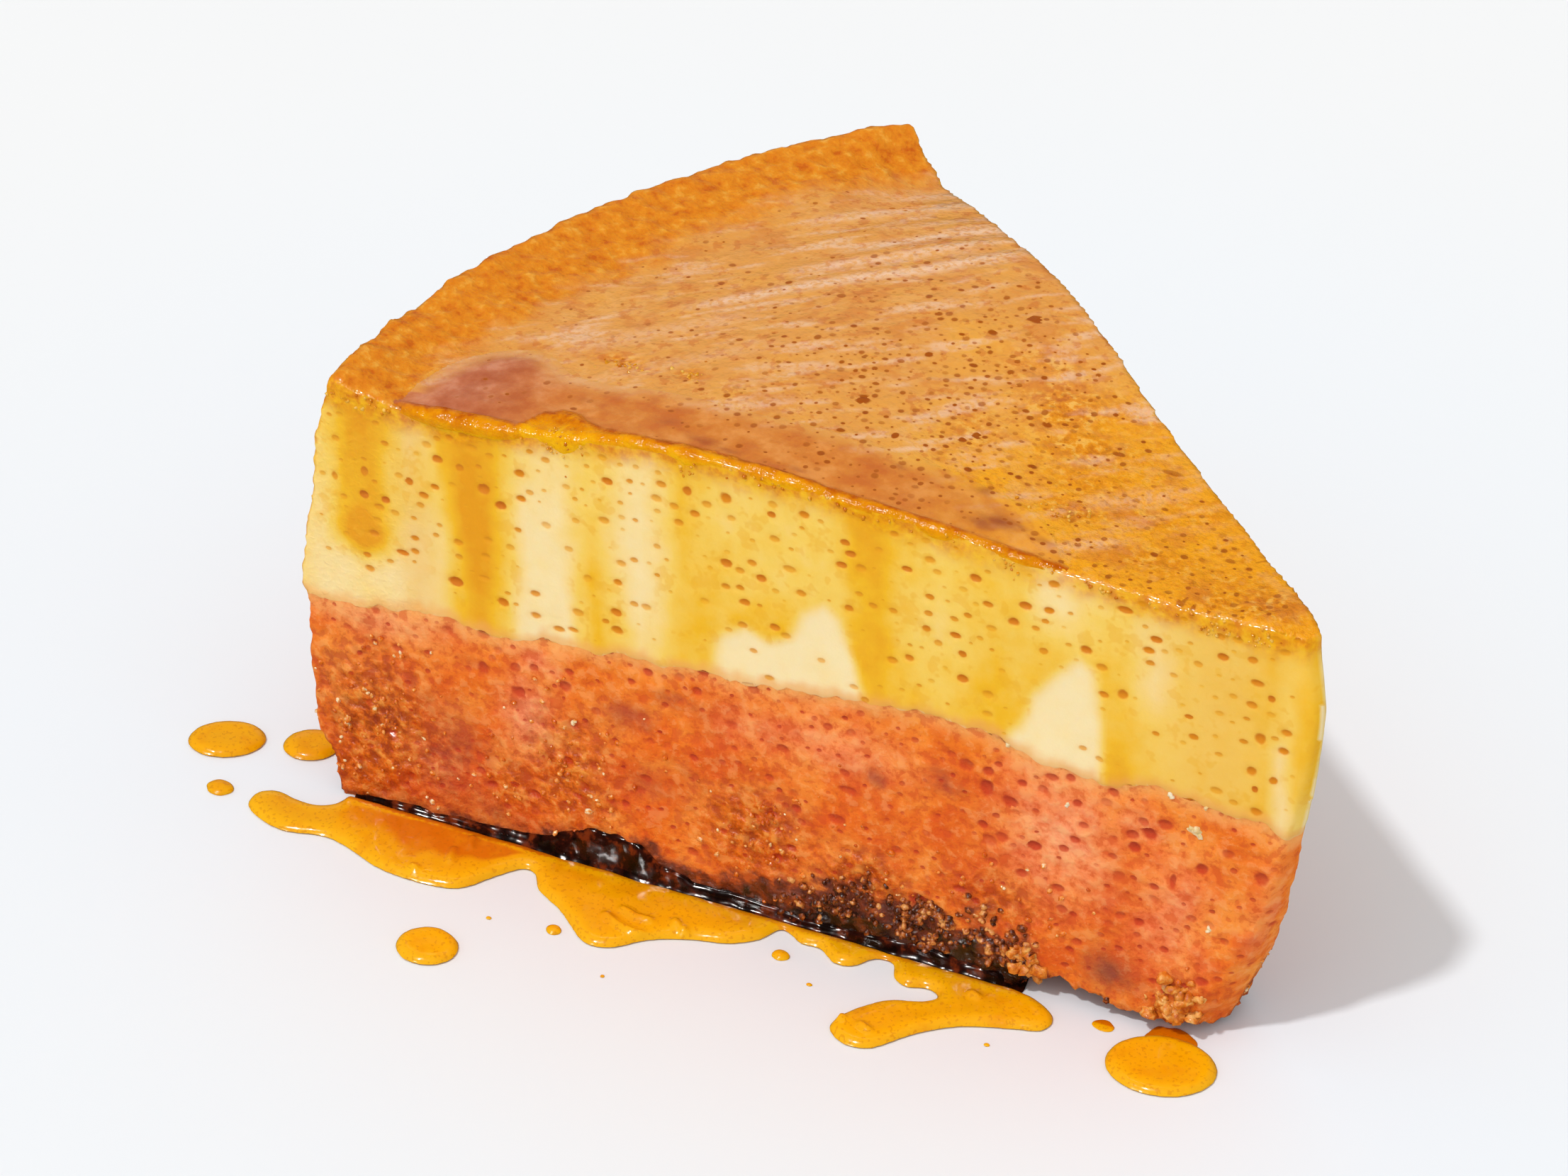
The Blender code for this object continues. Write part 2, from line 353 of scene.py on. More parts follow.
# %% Stain on the near face
WINDOWS = (
    ((66.4, 24.0), (65, 35), (62, 37.5), (59, 36.3), (56.8, 37.6), (55.2, 41), (53, 42.6),
     (51.2, 41.4), (49.6, 37), (48.6, 33), (47.6, 24.0)),
    ((36.0, 24.0), (33, 31.5), (31, 34.2), (29.6, 38.5), (27, 42), (24.8, 44.2), (23.4, 43.4),
     (22.4, 37), (21.9, 24.0)),
)
WINDOW_EDGE = 1.1
WINDOW_PALENESS = 0.97
BULBS = ((58.6, 38.4, 2.3, 1.7, -.02), (107, 36.3, 2.6, 2.6, .35), (67.8, 33, 1.8, 3, .03),
         (93.2, 40, 2, 9, .1))


def near_stain(along, height):
    """Stain on the near cut face, from 0 for pale custard to 1 for deep amber."""
    levels = [level for level, _ in STAIN_ROWS]
    rows = [read_table(row, along) for _, row in STAIN_ROWS]
    stain = rows[0].copy()
    for index in range(1, len(rows)):
        share = ease(levels[index - 1] - height, 0.0, levels[index - 1] - levels[index])
        stain = stain * (1.0 - share) + rows[index] * share
    for centre, level, wide, tall, extra in BULBS:
        stain += extra * hump(along, centre, wide) * hump(height, level, tall)
    places = np.stack([along, height], 1)
    for outline in WINDOWS:
        deep = depth_inside(places, np.array(outline))
        stain *= 1.0 - WINDOW_PALENESS * ease(deep, -WINDOW_EDGE, WINDOW_EDGE)
    return stain


print("stain at 94 mm along, 40 mm high:", near_stain(*np.array([[94.0], [40.0]])).round(2))

# %% [markdown]
# ## Stain on the other sides
#
# The back cut face gets seeded streaks of the same widths, some of which stop halfway.
# The round side lay against the tin, so it carries a broader, darker stain. The three
# are mixed by the share that each side has of a point.

# %% Stain on every side
STREAKS = 17
STREAK_FEET = (20.0, 20.0, 30.0, 36.0, 40.0)
PALE_STAIN = 0.3
TINY = 1e-6


def far_stain(along, height):
    draw = random.Random(41)
    stain = np.full(len(along), PALE_STAIN)
    sway = rough(np.stack([along * 0.2, height, 0.0 * along], 1), 7.0, 42, 2)
    for _ in range(STREAKS):
        centre = draw.uniform(3.0, 112.0)
        wide = draw.uniform(1.3, 3.4)
        foot = draw.choice(STREAK_FEET)
        lean = draw.uniform(-0.06, 0.06) * (height - 40.0)
        shape = hump(along + lean + 1.4 * sway, centre, wide) * (1.0 + 0.5 * sway)
        stain += draw.uniform(0.25, 0.6) * shape * ease(height, foot, foot + 3.0)
    return stain


def rim_stain(points, height):
    """Broad drips on the round side, darker towards the top."""
    drips = rough(points * (1.0, 1.0, 0.12), 5.5, 21, 2)
    return 0.66 + 0.4 * drips + 0.25 * ease(height, 44.0, 55.0)


def custard_stain(points, side):
    at = side.at
    wander = 0.35 * rough(points * (1.0, 1.0, 0.3), 2.6, 11)
    near = near_stain(at.near_along + wander, at.height)
    far = far_stain(at.far_along + wander, at.height)
    total = side.near + side.far + side.rim + TINY
    mixed = near * side.near + far * side.far + rim_stain(points, at.height) * side.rim
    mixed /= total
    mixed += 0.05 * rough(points * (1.0, 1.0, 0.35), 1.7, 12, 2)
    return np.clip(mixed, 0.0, 1.0)


stain = custard_stain(points, side)
print("custard stain, average:", round(float(stain.mean()), 2))

# %% [markdown]
# ## The height of the top
#
# Later steps need to know how far a point is below the top edge. A ray from above would
# find the top, but it is a low dome that depends only on the distance from the tip. A
# swelling that is wide towards the tip and narrower towards the rim, with a small ridge
# at the rim itself, gives that height by a formula.

# %% How high the top stands
TOP_AT_RIM = 53.2
DOME_REACH = 68.0
DOME_HEIGHT = 3.9
DOME_WIDTHS = (40.0, 20.0)
RIDGE_REACH = 109.8
RIDGE_RISE = 0.9
RIDGE_WIDTH = 7.0


def top_height(reach):
    wide = np.where(reach < DOME_REACH, *DOME_WIDTHS)
    dome = DOME_HEIGHT * hump(reach, DOME_REACH, wide)
    return TOP_AT_RIM + dome + RIDGE_RISE * hump(reach, RIDGE_REACH, RIDGE_WIDTH)


print("top at the tip, middle and rim:",
      top_height(np.array([0.0, DOME_REACH, RIDGE_REACH])).round(1))

# %% [markdown]
# ## Sponge, wet crumb and burnt foot
#
# The sponge is orange where it drank caramel, coral where it stayed dry, purple-brown in
# a few stains, and wet and dark at its foot, where it stands in sauce. Each of these is a
# soft patch with a centre, a width and a height. The patches on the near face are placed
# one by one, and seeded patches of the same kinds cover the other sides.

# %% Patches on the sponge
CORAL = ((105, 25.6, 8, 2.4, .5), (88, 18, 2.6, 4.5, 1), (86.5, 25.5, 3, 1.8, .6),
         (26, 22, 5.5, 7.5, .95), (28, 28, 4, 2.5, .7), (13.5, 16, 4, 8, .55),
         (3, 15, 3, 10, .35), (52, 25.5, 8, 3.5, .55), (18, 26, 3, 3, .5),
         (60, 25, 6, 3, .35), (100, 8, 4, 3, .25))
STAINS = ((70, 25.8, 2.4, 1.5, .9), (75.5, 21.8, 3.2, 1.6, .9), (73.5, 13.5, 5, 2.5, .55),
          (39.5, 25, 2, 1.2, .9), (46.6, 22.6, 1.1, 1.1, 1.), (97.5, 10, 5, 6, 1.),
          (68.5, 17, 2.2, 2.2, .4), (19.5, 6.2, 3.2, 2.8, .9), (66, 21, 2, 3, .35),
          (43, 4, 2.2, 3.5, .6), (56, 15, 5, 1.6, .3), (94, 22.5, 2, 1.5, .4))
WET = ((107, 11, 7.5, 9.5, 1.), (83, 12, 5.5, 7.5, .8), (61, 11, 6, 6.5, .85), (48, 9, 5, 4, .9),
       (90, 8, 4, 5, .6), (110, 4, 6, 5, .8), (33, 11, 7, 4, .5), (12, 5, 3, 3, .6))
FOOT_ALONG = (14, 18, 21, 25, 27.5, 30, 34, 38, 41, 44, 46, 50, 54, 58, 62, 66, 70, 74, 78,
              82, 86, 90, 95, 100, 105, 109, 112)
FOOT_HEIGHT = (0, .6, .4, 1.2, 4.6, 7.6, 8.4, 7.8, 7.6, 7.2, 7.8, 8, 6.8, 5.4, 5.2, 4.6, 4,
               5.2, 5.4, 4.8, 3.7, 2.5, 2, 1.7, 1.4, .8, 0)


def patches(along, height, spots):
    """The strongest of many soft ovals at each place, from 0 to 1."""
    total = np.zeros(len(along))
    for centre, level, wide, tall, strength in spots:
        shape = hump(along, centre, wide) * hump(height, level, tall)
        total = np.maximum(total, strength * shape)
    return total


def seeded_patches(seed, count, wide, tall, low, high):
    draw = random.Random(seed)
    return [(draw.uniform(4.0, 112.0), draw.uniform(low, high), draw.uniform(*wide),
             draw.uniform(*tall), draw.uniform(0.5, 1.0)) for _ in range(count)]


def sponge_looks(points, side):
    """Coral, stained, wet and burnt shares of the sponge, each from 0 to 1."""
    at = side.at
    turned = np.degrees(np.arctan2(points[:, 1], TIP[0] - points[:, 0])) * 2.0 + 58.0
    elsewhere = side.far * at.far_along + side.rim * turned
    elsewhere /= side.far + side.rim + TINY
    near = side.near / (side.near + side.far + side.rim + TINY)
    wobble = 1.3 * rough(points, 3.0, 31, 2)
    result = []
    kinds = ((CORAL, seeded_patches(51, 9, (2.5, 6.0), (3.0, 8.0), 8.0, 28.0), 1.0),
        (STAINS, seeded_patches(52, 12, (1.2, 4.5), (1.2, 4.0), 5.0, 27.0), 0.7),
        (WET, seeded_patches(53, 8, (4.0, 8.0), (4.0, 10.0), 3.0, 16.0), 1.0),)
    for placed, seeded, share in kinds:
        here = patches(at.near_along + wobble, at.height + wobble * 0.8, placed)
        there = patches(elsewhere + wobble, at.height + wobble, seeded)
        result.append(here * near + there * (1.0 - near) * share)
    ragged = 1.0 + 0.45 * rough(points, 2.2, 33, 2)
    foot = np.interp(at.near_along, FOOT_ALONG, FOOT_HEIGHT) * ragged
    foot_there = (2.6 + 1.8 * rough(points * (1.0, 1.0, 0.1), 9.0, 34)) * ragged
    foot = foot * near + foot_there * (1.0 - near)
    result.append(ease(foot - at.height, -2.0, 6.0))
    return result


coral, stained, wet, burnt = sponge_looks(points, side)
print("wet share of the sponge:", round(float(wet[points[:, 2] < 28].mean()), 2))

# %% [markdown]
# ## Relief
#
# Custard cut with a knife is smooth and gently wavy, and stands slightly proud where
# caramel ran. Sponge is lumpy at three sizes, with packed round grains where it is wet.
# On top, the outer band baked against the tin and is grainy, while the skin inside it
# lies in long low ripples. All of it is worked out as one height for each vertex and
# moved along the normal, so both layers still meet exactly.

# %% Push the skin in and out
RUGGED = ((84.5, 16.3, 2.8, .9, 1.), (80.3, 14.9, 1.6, .8, 1.), (75, 14.9, 1.1, 1.3, 1.),
          (37, 26, 5.5, 5, .9), (33, 20.5, 6, 3.5, .8), (29.5, 10.5, 4, 1.8, .9),
          (20, 6, 6, 2.4, .6), (31, 16, 5, 3.5, .5), (12, 6, 4, 2, .5),
          (24, 12.5, 4, 1.6, .7), (7, 3.5, 4, 2.6, .9), (44.5, 18, 3.5, 4, .6),
          (42, 32, 4.5, 4, .6), (18, 16, 5, 2, .5), (12.5, 2.5, 3, 2, .7),
          (43, 41, 4, 3, .3), (63.5, 31, 2, 1, .3), (30, 28.5, 4, 2, .7))
BAND_START = 100.0
RIPPLE_LENGTH = 5.2
RIPPLE_HEIGHT = 0.075
RIPPLE_TURN = (0.61, 0.79)


def across_ripples(at):
    return RIPPLE_TURN[0] * at.near_along - RIPPLE_TURN[1] * at.near_out


def along_ripples(at):
    return RIPPLE_TURN[1] * at.near_along + RIPPLE_TURN[0] * at.near_out


def band_share(points, at):
    """1 on the baked band beside the round side, 0 on the skin inside it."""
    stray = 2.2 * rough(points, 9.0, 71, 2) + 2.4 * rough(points, 3.0, 76, 2)
    return ease(at.reach + stray, BAND_START - 2.5, BAND_START + 3.5)


def rugged(points, at):
    """Patches of the top where the skin is torn and crumbly."""
    stray = 1.2 * rough(points, 3.0, 75, 2)
    return patches(at.near_along + stray, -at.near_out + 0.6 * stray, RUGGED)


print("the baked band starts", BAND_START, "mm from the tip")

# %% [markdown]
# ## One height for each vertex
#
# The parts of the relief are mixed by the share of each side, so the height changes
# smoothly round every edge. Fine grain costs nothing here, because it is only a number
# added to a vertex that is there already.

# %% Relief


def relief(points, side, line, stain, wet, burnt):
    """How far each vertex moves along its normal."""
    at = side.at
    above = ease(at.height - line, -0.6, 0.5)
    cut = side.near + side.far
    coarse = rough(points, 5.5, 63)
    fine = rough(points, 1.9, 64, 2)
    grain = grains(points, 1.25, 65)
    smooth_cut = 0.2 * rough(points, 11.0, 61) + 0.05 * fine + 0.22 * (stain - 0.5)
    baked = 0.32 * coarse + 0.26 * fine
    custard = cut * smooth_cut + side.rim * baked
    crumb = 0.3 * coarse + 0.2 * fine + (0.12 + 0.34 * wet + 0.3 * burnt) * grain
    crumb += 0.25 * burnt * rough(points, 3.0, 66, 2)
    band = band_share(points, at)
    across = across_ripples(at)
    phase = 2.0 * math.pi * across / RIPPLE_LENGTH + 2.6 * rough(points, 13.0, 67)
    rippled = ease(across, 66.0, 77.0) * ease(98.0 - across, 0.0, 6.0)
    rippled *= 0.25 + 0.75 * ease(38.0 + at.far_out, 0.0, 34.0)
    skin = 0.16 * rough(points, 9.0, 68) + 0.045 * rough(points, 3.2, 69)
    skin += RIPPLE_HEIGHT * rippled * np.sin(phase)
    top = skin * (1.0 - band) + (0.3 * coarse + 0.28 * fine + 0.1 * grain) * band
    top += 0.3 * rugged(points, at) * (grains(points, 1.15, 73) + rough(points, 2.0, 74))
    return above * (custard + side.top * top) + (1.0 - above) * (cut + side.rim) * crumb


height_of = relief(points, side, line, stain, wet, burnt)
print("relief from", height_of.min().round(2), "to", height_of.max().round(2), "mm")

# %% [markdown]
# ## Wear
#
# A few places have moved further than grain: the tip is blunt and leans, one corner
# stands proud, the skin has sunk beside the baked band, and the base is torn near the
# tip. Each is a smooth push that fades out round its own place.

# %% Wear at the tip, the corners and the base


def worn(points, side):
    """Points after the moves that are larger than grain."""
    at = side.at
    moved = points.copy()
    tip = np.clip(1.0 - at.reach / 9.0, 0.0, 1.0) ** 2
    moved[:, 0] += tip * (0.8 * hump(at.height, 45.0, 8.0) - 0.6 * hump(at.height, 27.0, 8.0)
                          + 1.5 * ease(12.0 - at.height, 0.0, 7.0))
    corner = hump(at.near_along, 111.0, 5.0) * ease(at.near_out, -15.0, -2.0)
    high = ease(at.height, 30.0, 54.0)
    moved += (1.7 * corner * high)[:, None] * UP + (0.5 * corner * high)[:, None] * NEAR_ALONG
    foot = hump(at.near_along, 113.0, 5.0) * ease(6.0 - at.height, 0.0, 5.0)
    moved += (1.2 * foot * ease(at.near_out, -14.0, 0.0))[:, None] * NEAR_ALONG
    blunt = ease(5.0 - at.reach, 0.0, 5.0) * ease(at.height, 44.0, 53.0)
    moved[:, 0] -= 1.3 * blunt
    moved[:, 2] += 0.7 * hump(at.reach, 6.0, 3.5) * ease(at.height, 48.0, 53.0)
    # the skin sinks beside the baked band at the back corner, and the band stands above it
    back = ease(at.far_out, -16.0, 0.0) * ease(at.height, 40.0, 54.0)
    moved[:, 2] += back * (1.2 * ease(at.reach, 104.0, 109.0) - 1.5 * hump(at.reach, 99.0, 5.5))
    torn = ease(33.0 - at.reach, 0.0, 4.0) * ease(7.5 - at.height, 0.0, 4.0)
    torn *= ease(at.height, 0.3, 1.2)
    ragged = rough(points * (1.0, 1.0, 0.3), 2.4, 72, 3)
    moved[:, 2] += torn * (1.3 * ragged - 0.5)
    return moved


moved = worn(points + normals * height_of[:, None], side)
moved[:, 2] = np.maximum(moved[:, 2], 0.0)
move_vertices(slice_mesh, moved)
print("largest move:", np.linalg.norm(moved - points, axis=1).max().round(2), "mm")

# %% [markdown]
# ## Cutting the skin into its two layers
#
# Bisecting works with a flat plane, and the line between the layers isn't flat. So the
# slice is first sheared until that line is level, bisected there, and sheared back. The
# open side of each half is closed by filling the flat loop of edges, and the loop is
# marked sharp, so that shading doesn't bleed round the corner.

# %% Two closed layers
REST_HEIGHT = 0.25


def cut_level(bm, height, keep_above):
    """Bisect at a height, throw one side away and close the hole."""
    bmesh.ops.bisect_plane(bm, geom=bm.verts[:] + bm.edges[:] + bm.faces[:], dist=MERGE,
        plane_co=(0.0, 0.0, height), plane_no=(0.0, 0.0, 1.0),
        clear_inner=keep_above, clear_outer=not keep_above,)
    loop = [edge for edge in bm.edges if edge.is_boundary]
    for edge in loop:
        edge.smooth = False
    bmesh.ops.triangle_fill(bm, use_beauty=True, use_dissolve=False, edges=loop)
    return {vert for edge in loop for vert in edge.verts}


def shear(bm, sign):
    """Raise every vertex by the height of the line there, or lower it."""
    spots = np.array([vert.co for vert in bm.verts])
    for vert, level in zip(bm.verts, layer_line(spots)):
        vert.co.z += sign * level


def one_layer(mesh, keep_above):
    """The custard, or the sponge, as a closed bmesh."""
    bm = bmesh.new()
    bm.from_mesh(mesh)
    shear(bm, -1.0)
    cut_level(bm, 0.0, keep_above)
    shear(bm, 1.0)
    if not keep_above:
        for vert in cut_level(bm, REST_HEIGHT, True):
            vert.co.z = 0.0
    bmesh.ops.recalc_face_normals(bm, faces=bm.faces)
    return bm


custard_bm = one_layer(slice_mesh, True)
sponge_bm = one_layer(slice_mesh, False)
print("custard", len(custard_bm.faces), "faces, sponge", len(sponge_bm.faces), "faces")

# %% [markdown]
# ## Bubbles
#
# Custard that is baked a little too hot holds small bubbles. Cutting through them leaves
# shallow oval pits in which caramel collects. The larger ones on the near face are set
# one by one, and smaller ones are drawn with a seed, thicker towards the top. Each mark
# keeps its own axes, so its dent and its colour can follow the same oval. Dark flecks on
# the skin of the top and pores in the sponge are marks too.

# %% Marks for pits, flecks and pores
PITS = (
    (96, 33.3, 1.15, .75, 1.), (92, 46.3, .95, .75, .9), (90.1, 44.7, .8, .65, 1.),
    (94.8, 48.2, .65, .55, .8), (97.5, 48.5, .8, .6, .9), (99.3, 43.5, .75, .5, .8),
    (101, 44.7, .65, .6, .9), (97.9, 44.9, .7, .45, .8), (102.4, 35.2, .95, .45, .9),
    (104.1, 41.5, .7, .6, 1.), (106.7, 41.5, .7, .6, 1.), (106.5, 44.5, .6, .8, .8),
    (110.2, 42.9, .5, .7, .7), (109.7, 47.8, .7, .5, .6), (90.4, 32.3, .9, .7, .9),
    (92.4, 34.9, .9, .4, .6), (86.5, 31.7, .8, .55, .7), (86.4, 34.5, .75, .5, .7),
    (83.8, 30.7, .9, .45, .7), (82.1, 31.1, .8, .4, .7), (84.8, 43.7, .75, .5, .45),
    (87.7, 46.2, .8, .5, .8), (87.7, 49.3, .8, .6, .8), (81.4, 33.6, .9, .6, .6),
    (80, 38.4, .7, .6, .5), (77.5, 51.2, .8, .55, .9), (76.7, 32.7, .9, .65, .8),
    (76.8, 35, .85, .6, .9), (68.3, 52.5, .65, .7, .9), (63.9, 52.8, .8, .8, .8),
    (64, 44.8, .85, .65, .9), (64, 41.9, .7, .5, .7), (60, 44.1, .75, .55, .9),
    (58.8, 52.2, .6, .45, .9), (56.8, 46.2, 1, .5, .6), (51, 48.4, .8, .5, .9),
    (50, 50, .85, .5, .9), (50.6, 51.2, .65, .45, .9), (50.1, 43.3, .65, .5, .8),
    (43.8, 49.9, .7, .4, .9), (43.4, 39.1, .7, .5, .8), (41.5, 43.3, .6, .5, .8),
    (40.2, 41.9, .65, .5, .6), (38.3, 43.4, .75, .5, .9), (37.6, 41.3, .6, .5, .9),
    (37.4, 38.3, .8, .6, .9), (36.3, 51, .8, .55, .9), (34.9, 48.3, .75, .45, .8),
    (32.1, 47, .8, .6, .9), (30.8, 49.3, .85, .55, .9), (28.8, 44.4, .6, .5, .7),
    (24.3, 45.8, .85, .6, .9), (20.5, 51.7, 1, .5, .9), (20.2, 41.6, .8, .7, .8),
    (17, 49.1, .8, .5, .9), (17.8, 47.6, .8, .5, .8), (13.2, 41, .6, .3, .9),
    (10, 49.2, .7, .5, .9), (6.3, 47.2, .9, .5, .8), (4.8, 45.8, .5, .5, .9),
    (5.6, 40.7, .7, .8, .8), (6.3, 36.5, .7, .7, .8), (4, 36, .6, .6, .8),
    (5.8, 34.4, .4, .5, 1.), (5.5, 31.7, .9, .6, .8), (10, 42.4, .6, .4, .5),
    (9.8, 37.5, .6, .35, .6), (53.2, 35.8, .6, .4, .5), (60.9, 34.7, .6, .4, .6),
    (59.1, 31.8, .7, .4, .6), (49.5, 33.6, .7, .4, .5), (24.2, 33.6, .6, .4, .6),
)
PORES = (
    (16.6, 25.2, .95, .95, 1.), (18.1, 23, .75, .75, 1.), (10.7, 22.7, .8, .7, .9),
    (14.9, 27, 1, .7, .8), (29, 19.6, .9, .7, 1.), (31.8, 24.5, 1, .8, .9),
    (34.4, 25.5, .9, 1.1, .9), (36.7, 27.7, 1., .8, .7), (4.4, 23.5, .8, .9, .8),
    (93.1, 23, .9, .9, .8), (13.7, 20.2, .4, 1, .8), (26.2, 15.1, .9, .5, .8),
    (41.6, 7.9, 1.5, 1.3, 1.), (88.8, 21, 1, .8, .8), (83.2, 23.5, .8, .8, .8),
    (51.2, 16, 1.2, .6, .7), (24.5, 26.6, .6, .5, .9), (27.4, 29, .9, .5, .8),
    (50, 20.2, 1.2, .6, .7), (52.4, 27.6, .6, .5, .7), (34, 18.8, 1.2, .7, .6),
)
SPOTS = (
    (46, 39.3, 1.3, .8, 1.), (56.5, 17.5, .9, 1.1, .8), (49.3, 35, .7, .6, .8),
    (43.6, 17.2, .6, .8, 1.), (44.6, 15.8, .5, .5, 1.), (38, 22.5, .6, .5, .8),
    (36.6, 15.2, .6, .4, .8), (53.8, 28.4, .5, .5, .9), (48.8, 28.6, .5, .4, .9),
    (67.5, 36.5, .6, .5, .6), (82.5, 40.5, .5, .4, .6), (61, 30.8, .5, .4, .7),
    (29.6, 21.5, .8, .4, .7), (23.5, 21, 1.2, .5, .5), (50.8, 12.8, .4, .6, 1.),
    (42, 11.2, .5, .4, .9), (56.2, 11.2, .5, .4, .9), (13, 9.5, .6, .4, .5),
)
print(len(PITS), "pits,", len(PORES), "pores and", len(SPOTS), "flecks placed by hand")

# %% [markdown]
# ## A mark on each side
#
# A mark knows its centre, its two axes in the surface and the direction it faces. One
# small function for each side of the slice turns a place on that side into a mark.

# %% Marks on the sides
PIT_SCALE = 0.88
RIM_MARK_REACH = 113.0


def mark(centre, across, tall, wide, high, depth):
    return SimpleNamespace(centre=centre, across=across, tall=tall,
                           normal=np.cross(across, tall), wide=wide, high=high, depth=depth)


def on_near(along, height, wide, high, depth):
    return mark(TIP + along * NEAR_ALONG + height * UP, NEAR_ALONG, UP, wide, high, depth)


def on_far(along, height, wide, high, depth):
    return mark(TIP + along * FAR_ALONG + height * UP, FAR_ALONG, UP, wide, high, depth)


def on_rim(turn, height, wide, high, depth):
    spoke = np.array([-math.cos(turn), math.sin(turn), 0.0])
    tangent = np.array([math.sin(turn), math.cos(turn), 0.0])
    return mark(TIP + RIM_MARK_REACH * spoke + height * UP, tangent, UP, wide, high, depth)


def on_top(along, inward, wide, high, depth):
    centre = TIP + along * NEAR_ALONG - inward * NEAR_OUT
    centre = centre + UP * top_height(np.array([math.hypot(along, inward)]))[0]
    return mark(centre, NEAR_ALONG, NEAR_OUT, wide, high, depth)


print("a mark faces", on_near(50.0, 40.0, 1.0, 1.0, 1.0).normal.round(3))

# %% [markdown]
# ## Marks drawn with a seed
#
# Small bubbles are too many to place by hand. Each kind has a function that draws one,
# and a loop that keeps those which stand clear of the rest.

# %% Seeded marks


def add_seeded(marks, seed, count, make, space=1.7, tries=20):
    """Draw marks with a seed, each clear of those already placed."""
    draw = random.Random(seed)
    for _ in range(count):
        for _ in range(tries):
            made = make(draw)
            gaps = [np.linalg.norm(made.centre - other.centre) for other in marks]
            if not gaps or min(gaps) > space:
                marks.append(made)
                break


def pit_place(draw, low=30.5, high=54.0):
    """Along and up, with more pits near the top of the custard."""
    while True:
        height = draw.uniform(low, high)
        if draw.random() < 0.35 + 0.65 * float(ease(height, 40.0, 53.0)):
            return draw.uniform(2.0, 112.5), height


def small_pit(place):
    """A function that draws a small pit on one cut face, away from pale custard."""
    def make(draw):
        along, height = pit_place(draw)
        while place is on_near and near_stain(*np.array([[along], [height]]))[0] < 0.16:
            along, height = pit_place(draw)
        size = 0.18 + 0.38 * draw.random() ** 1.6
        depth = draw.uniform(0.25, 0.6) + 0.7 * (size - 0.18)
        return place(along, height, size * 1.25, size * 0.85, depth)
    return make


def rim_pit(draw):
    _, height = pit_place(draw)
    size = draw.uniform(0.3, 0.7)
    turn = draw.uniform(-0.95, 0.95) * HALF_ANGLE
    return on_rim(turn, height, size * 1.2, size * 0.9, draw.uniform(0.3, 0.8))


def fleck(draw):
    """A dark fleck in the skin of the top, thickest in the middle towards the tip."""
    while True:
        reach = draw.uniform(6.0, 100.0)
        turn = draw.uniform(0.03, 0.97) * 2.0 * HALF_ANGLE
        along, inward = reach * math.cos(turn), reach * math.sin(turn)
        thick = float(hump(along, 54.0, 17.0) * hump(inward, 21.0, 17.0))
        if draw.random() < 0.1 + 0.9 * thick:
            size = 0.16 + 0.3 * draw.random() ** 1.5
            return on_top(along, inward, size, size * draw.uniform(.7, 1.2), draw.uniform(.25, .8))


def pore(place):
    """A function that draws a pore on one cut face of the sponge."""
    def make(draw):
        size = 0.24 + 0.5 * draw.random() ** 2
        return place(draw.uniform(3.0, 112.0), draw.uniform(4.0, 30.5), size * 1.15, size * 0.9,
                     draw.uniform(0.3, 0.9))
    return make


pits = [on_near(along, height, wide * PIT_SCALE, high * PIT_SCALE, depth)
        for along, height, wide, high, depth in PITS]
add_seeded(pits, 81, 300, small_pit(on_near), space=1.3)
add_seeded(pits, 82, 260, small_pit(on_far))
add_seeded(pits, 83, 150, rim_pit)
flecks = [on_top(*values) for values in SPOTS]
add_seeded(flecks, 84, 820, fleck, space=0.8)
pores = [on_near(*values) for values in PORES]
add_seeded(pores, 85, 380, pore(on_near), space=1.3)
add_seeded(pores, 86, 300, pore(on_far), space=1.4)
print(len(pits), "pits,", len(flecks), "flecks and", len(pores), "pores")

# %% [markdown]
# ## Dents under the marks
#
# The even skin is too coarse for a pit one millimetre across, so the squares round each
# one are divided again before its vertices are pushed in. Colour needs a sharper edge
# still. Each corner of each face keeps its place measured from the nearest mark, in
# widths of that mark. Inside one face these numbers change evenly, so a material can
# draw the oval exactly, at any distance.

# %% Divide, dent and label
DENT = 0.22
DIVIDE_OVER = 0.6
DENT_REACH = 1.35
LABEL_REACH = 4.0
FAR_AWAY = (9.0, 9.0, 9.0)
MARK_DEPTH_RANGE = 2.2
PORE_DENT = 1.3


def tree_of(marks):
    return point_tree([item.centre for item in marks])


def divide_near(bm, marks, margin=1.25):
    """Divide the faces that lie under deep marks."""
    tree = tree_of(marks)
    edges = set()
    for face in bm.faces:
        _, index, gap = tree.find(face.calc_center_median())
        wide = marks[index].wide
        if wide > DIVIDE_OVER and gap < margin * wide + 0.35 and len(face.verts) == 4:
            edges.update(face.edges)
    bmesh.ops.subdivide_edges(bm, edges=list(edges), cuts=1, use_grid_fill=True)


def ready_mesh(bm, name):
    mesh = bpy.data.meshes.new(name)
    bm.to_mesh(mesh)
    bm.free()
    return mesh


def mark_arrays(marks):
    rows = {key: np.array([getattr(item, key) for item in marks]) for key in
            ("centre", "across", "tall", "normal", "wide", "high", "depth")}
    return SimpleNamespace(**rows)


def offsets(points, rows, chosen):
    """Place of each point from its chosen mark, in widths of that mark."""
    away = points - rows.centre[chosen]

    def part(axis):
        return np.einsum("ij,ij->i", away, axis[chosen])

    return np.stack([part(rows.across) / rows.wide[chosen], part(rows.tall) / rows.high[chosen],
                     part(rows.normal) / MARK_DEPTH_RANGE], axis=1)


def settle(marks, mesh):
    tree = point_tree(vertex_array(mesh).tolist())
    for item in marks:
        found = np.array(tree.find(item.centre)[0])
        item.centre = item.centre + np.dot(found - item.centre, item.normal) * item.normal


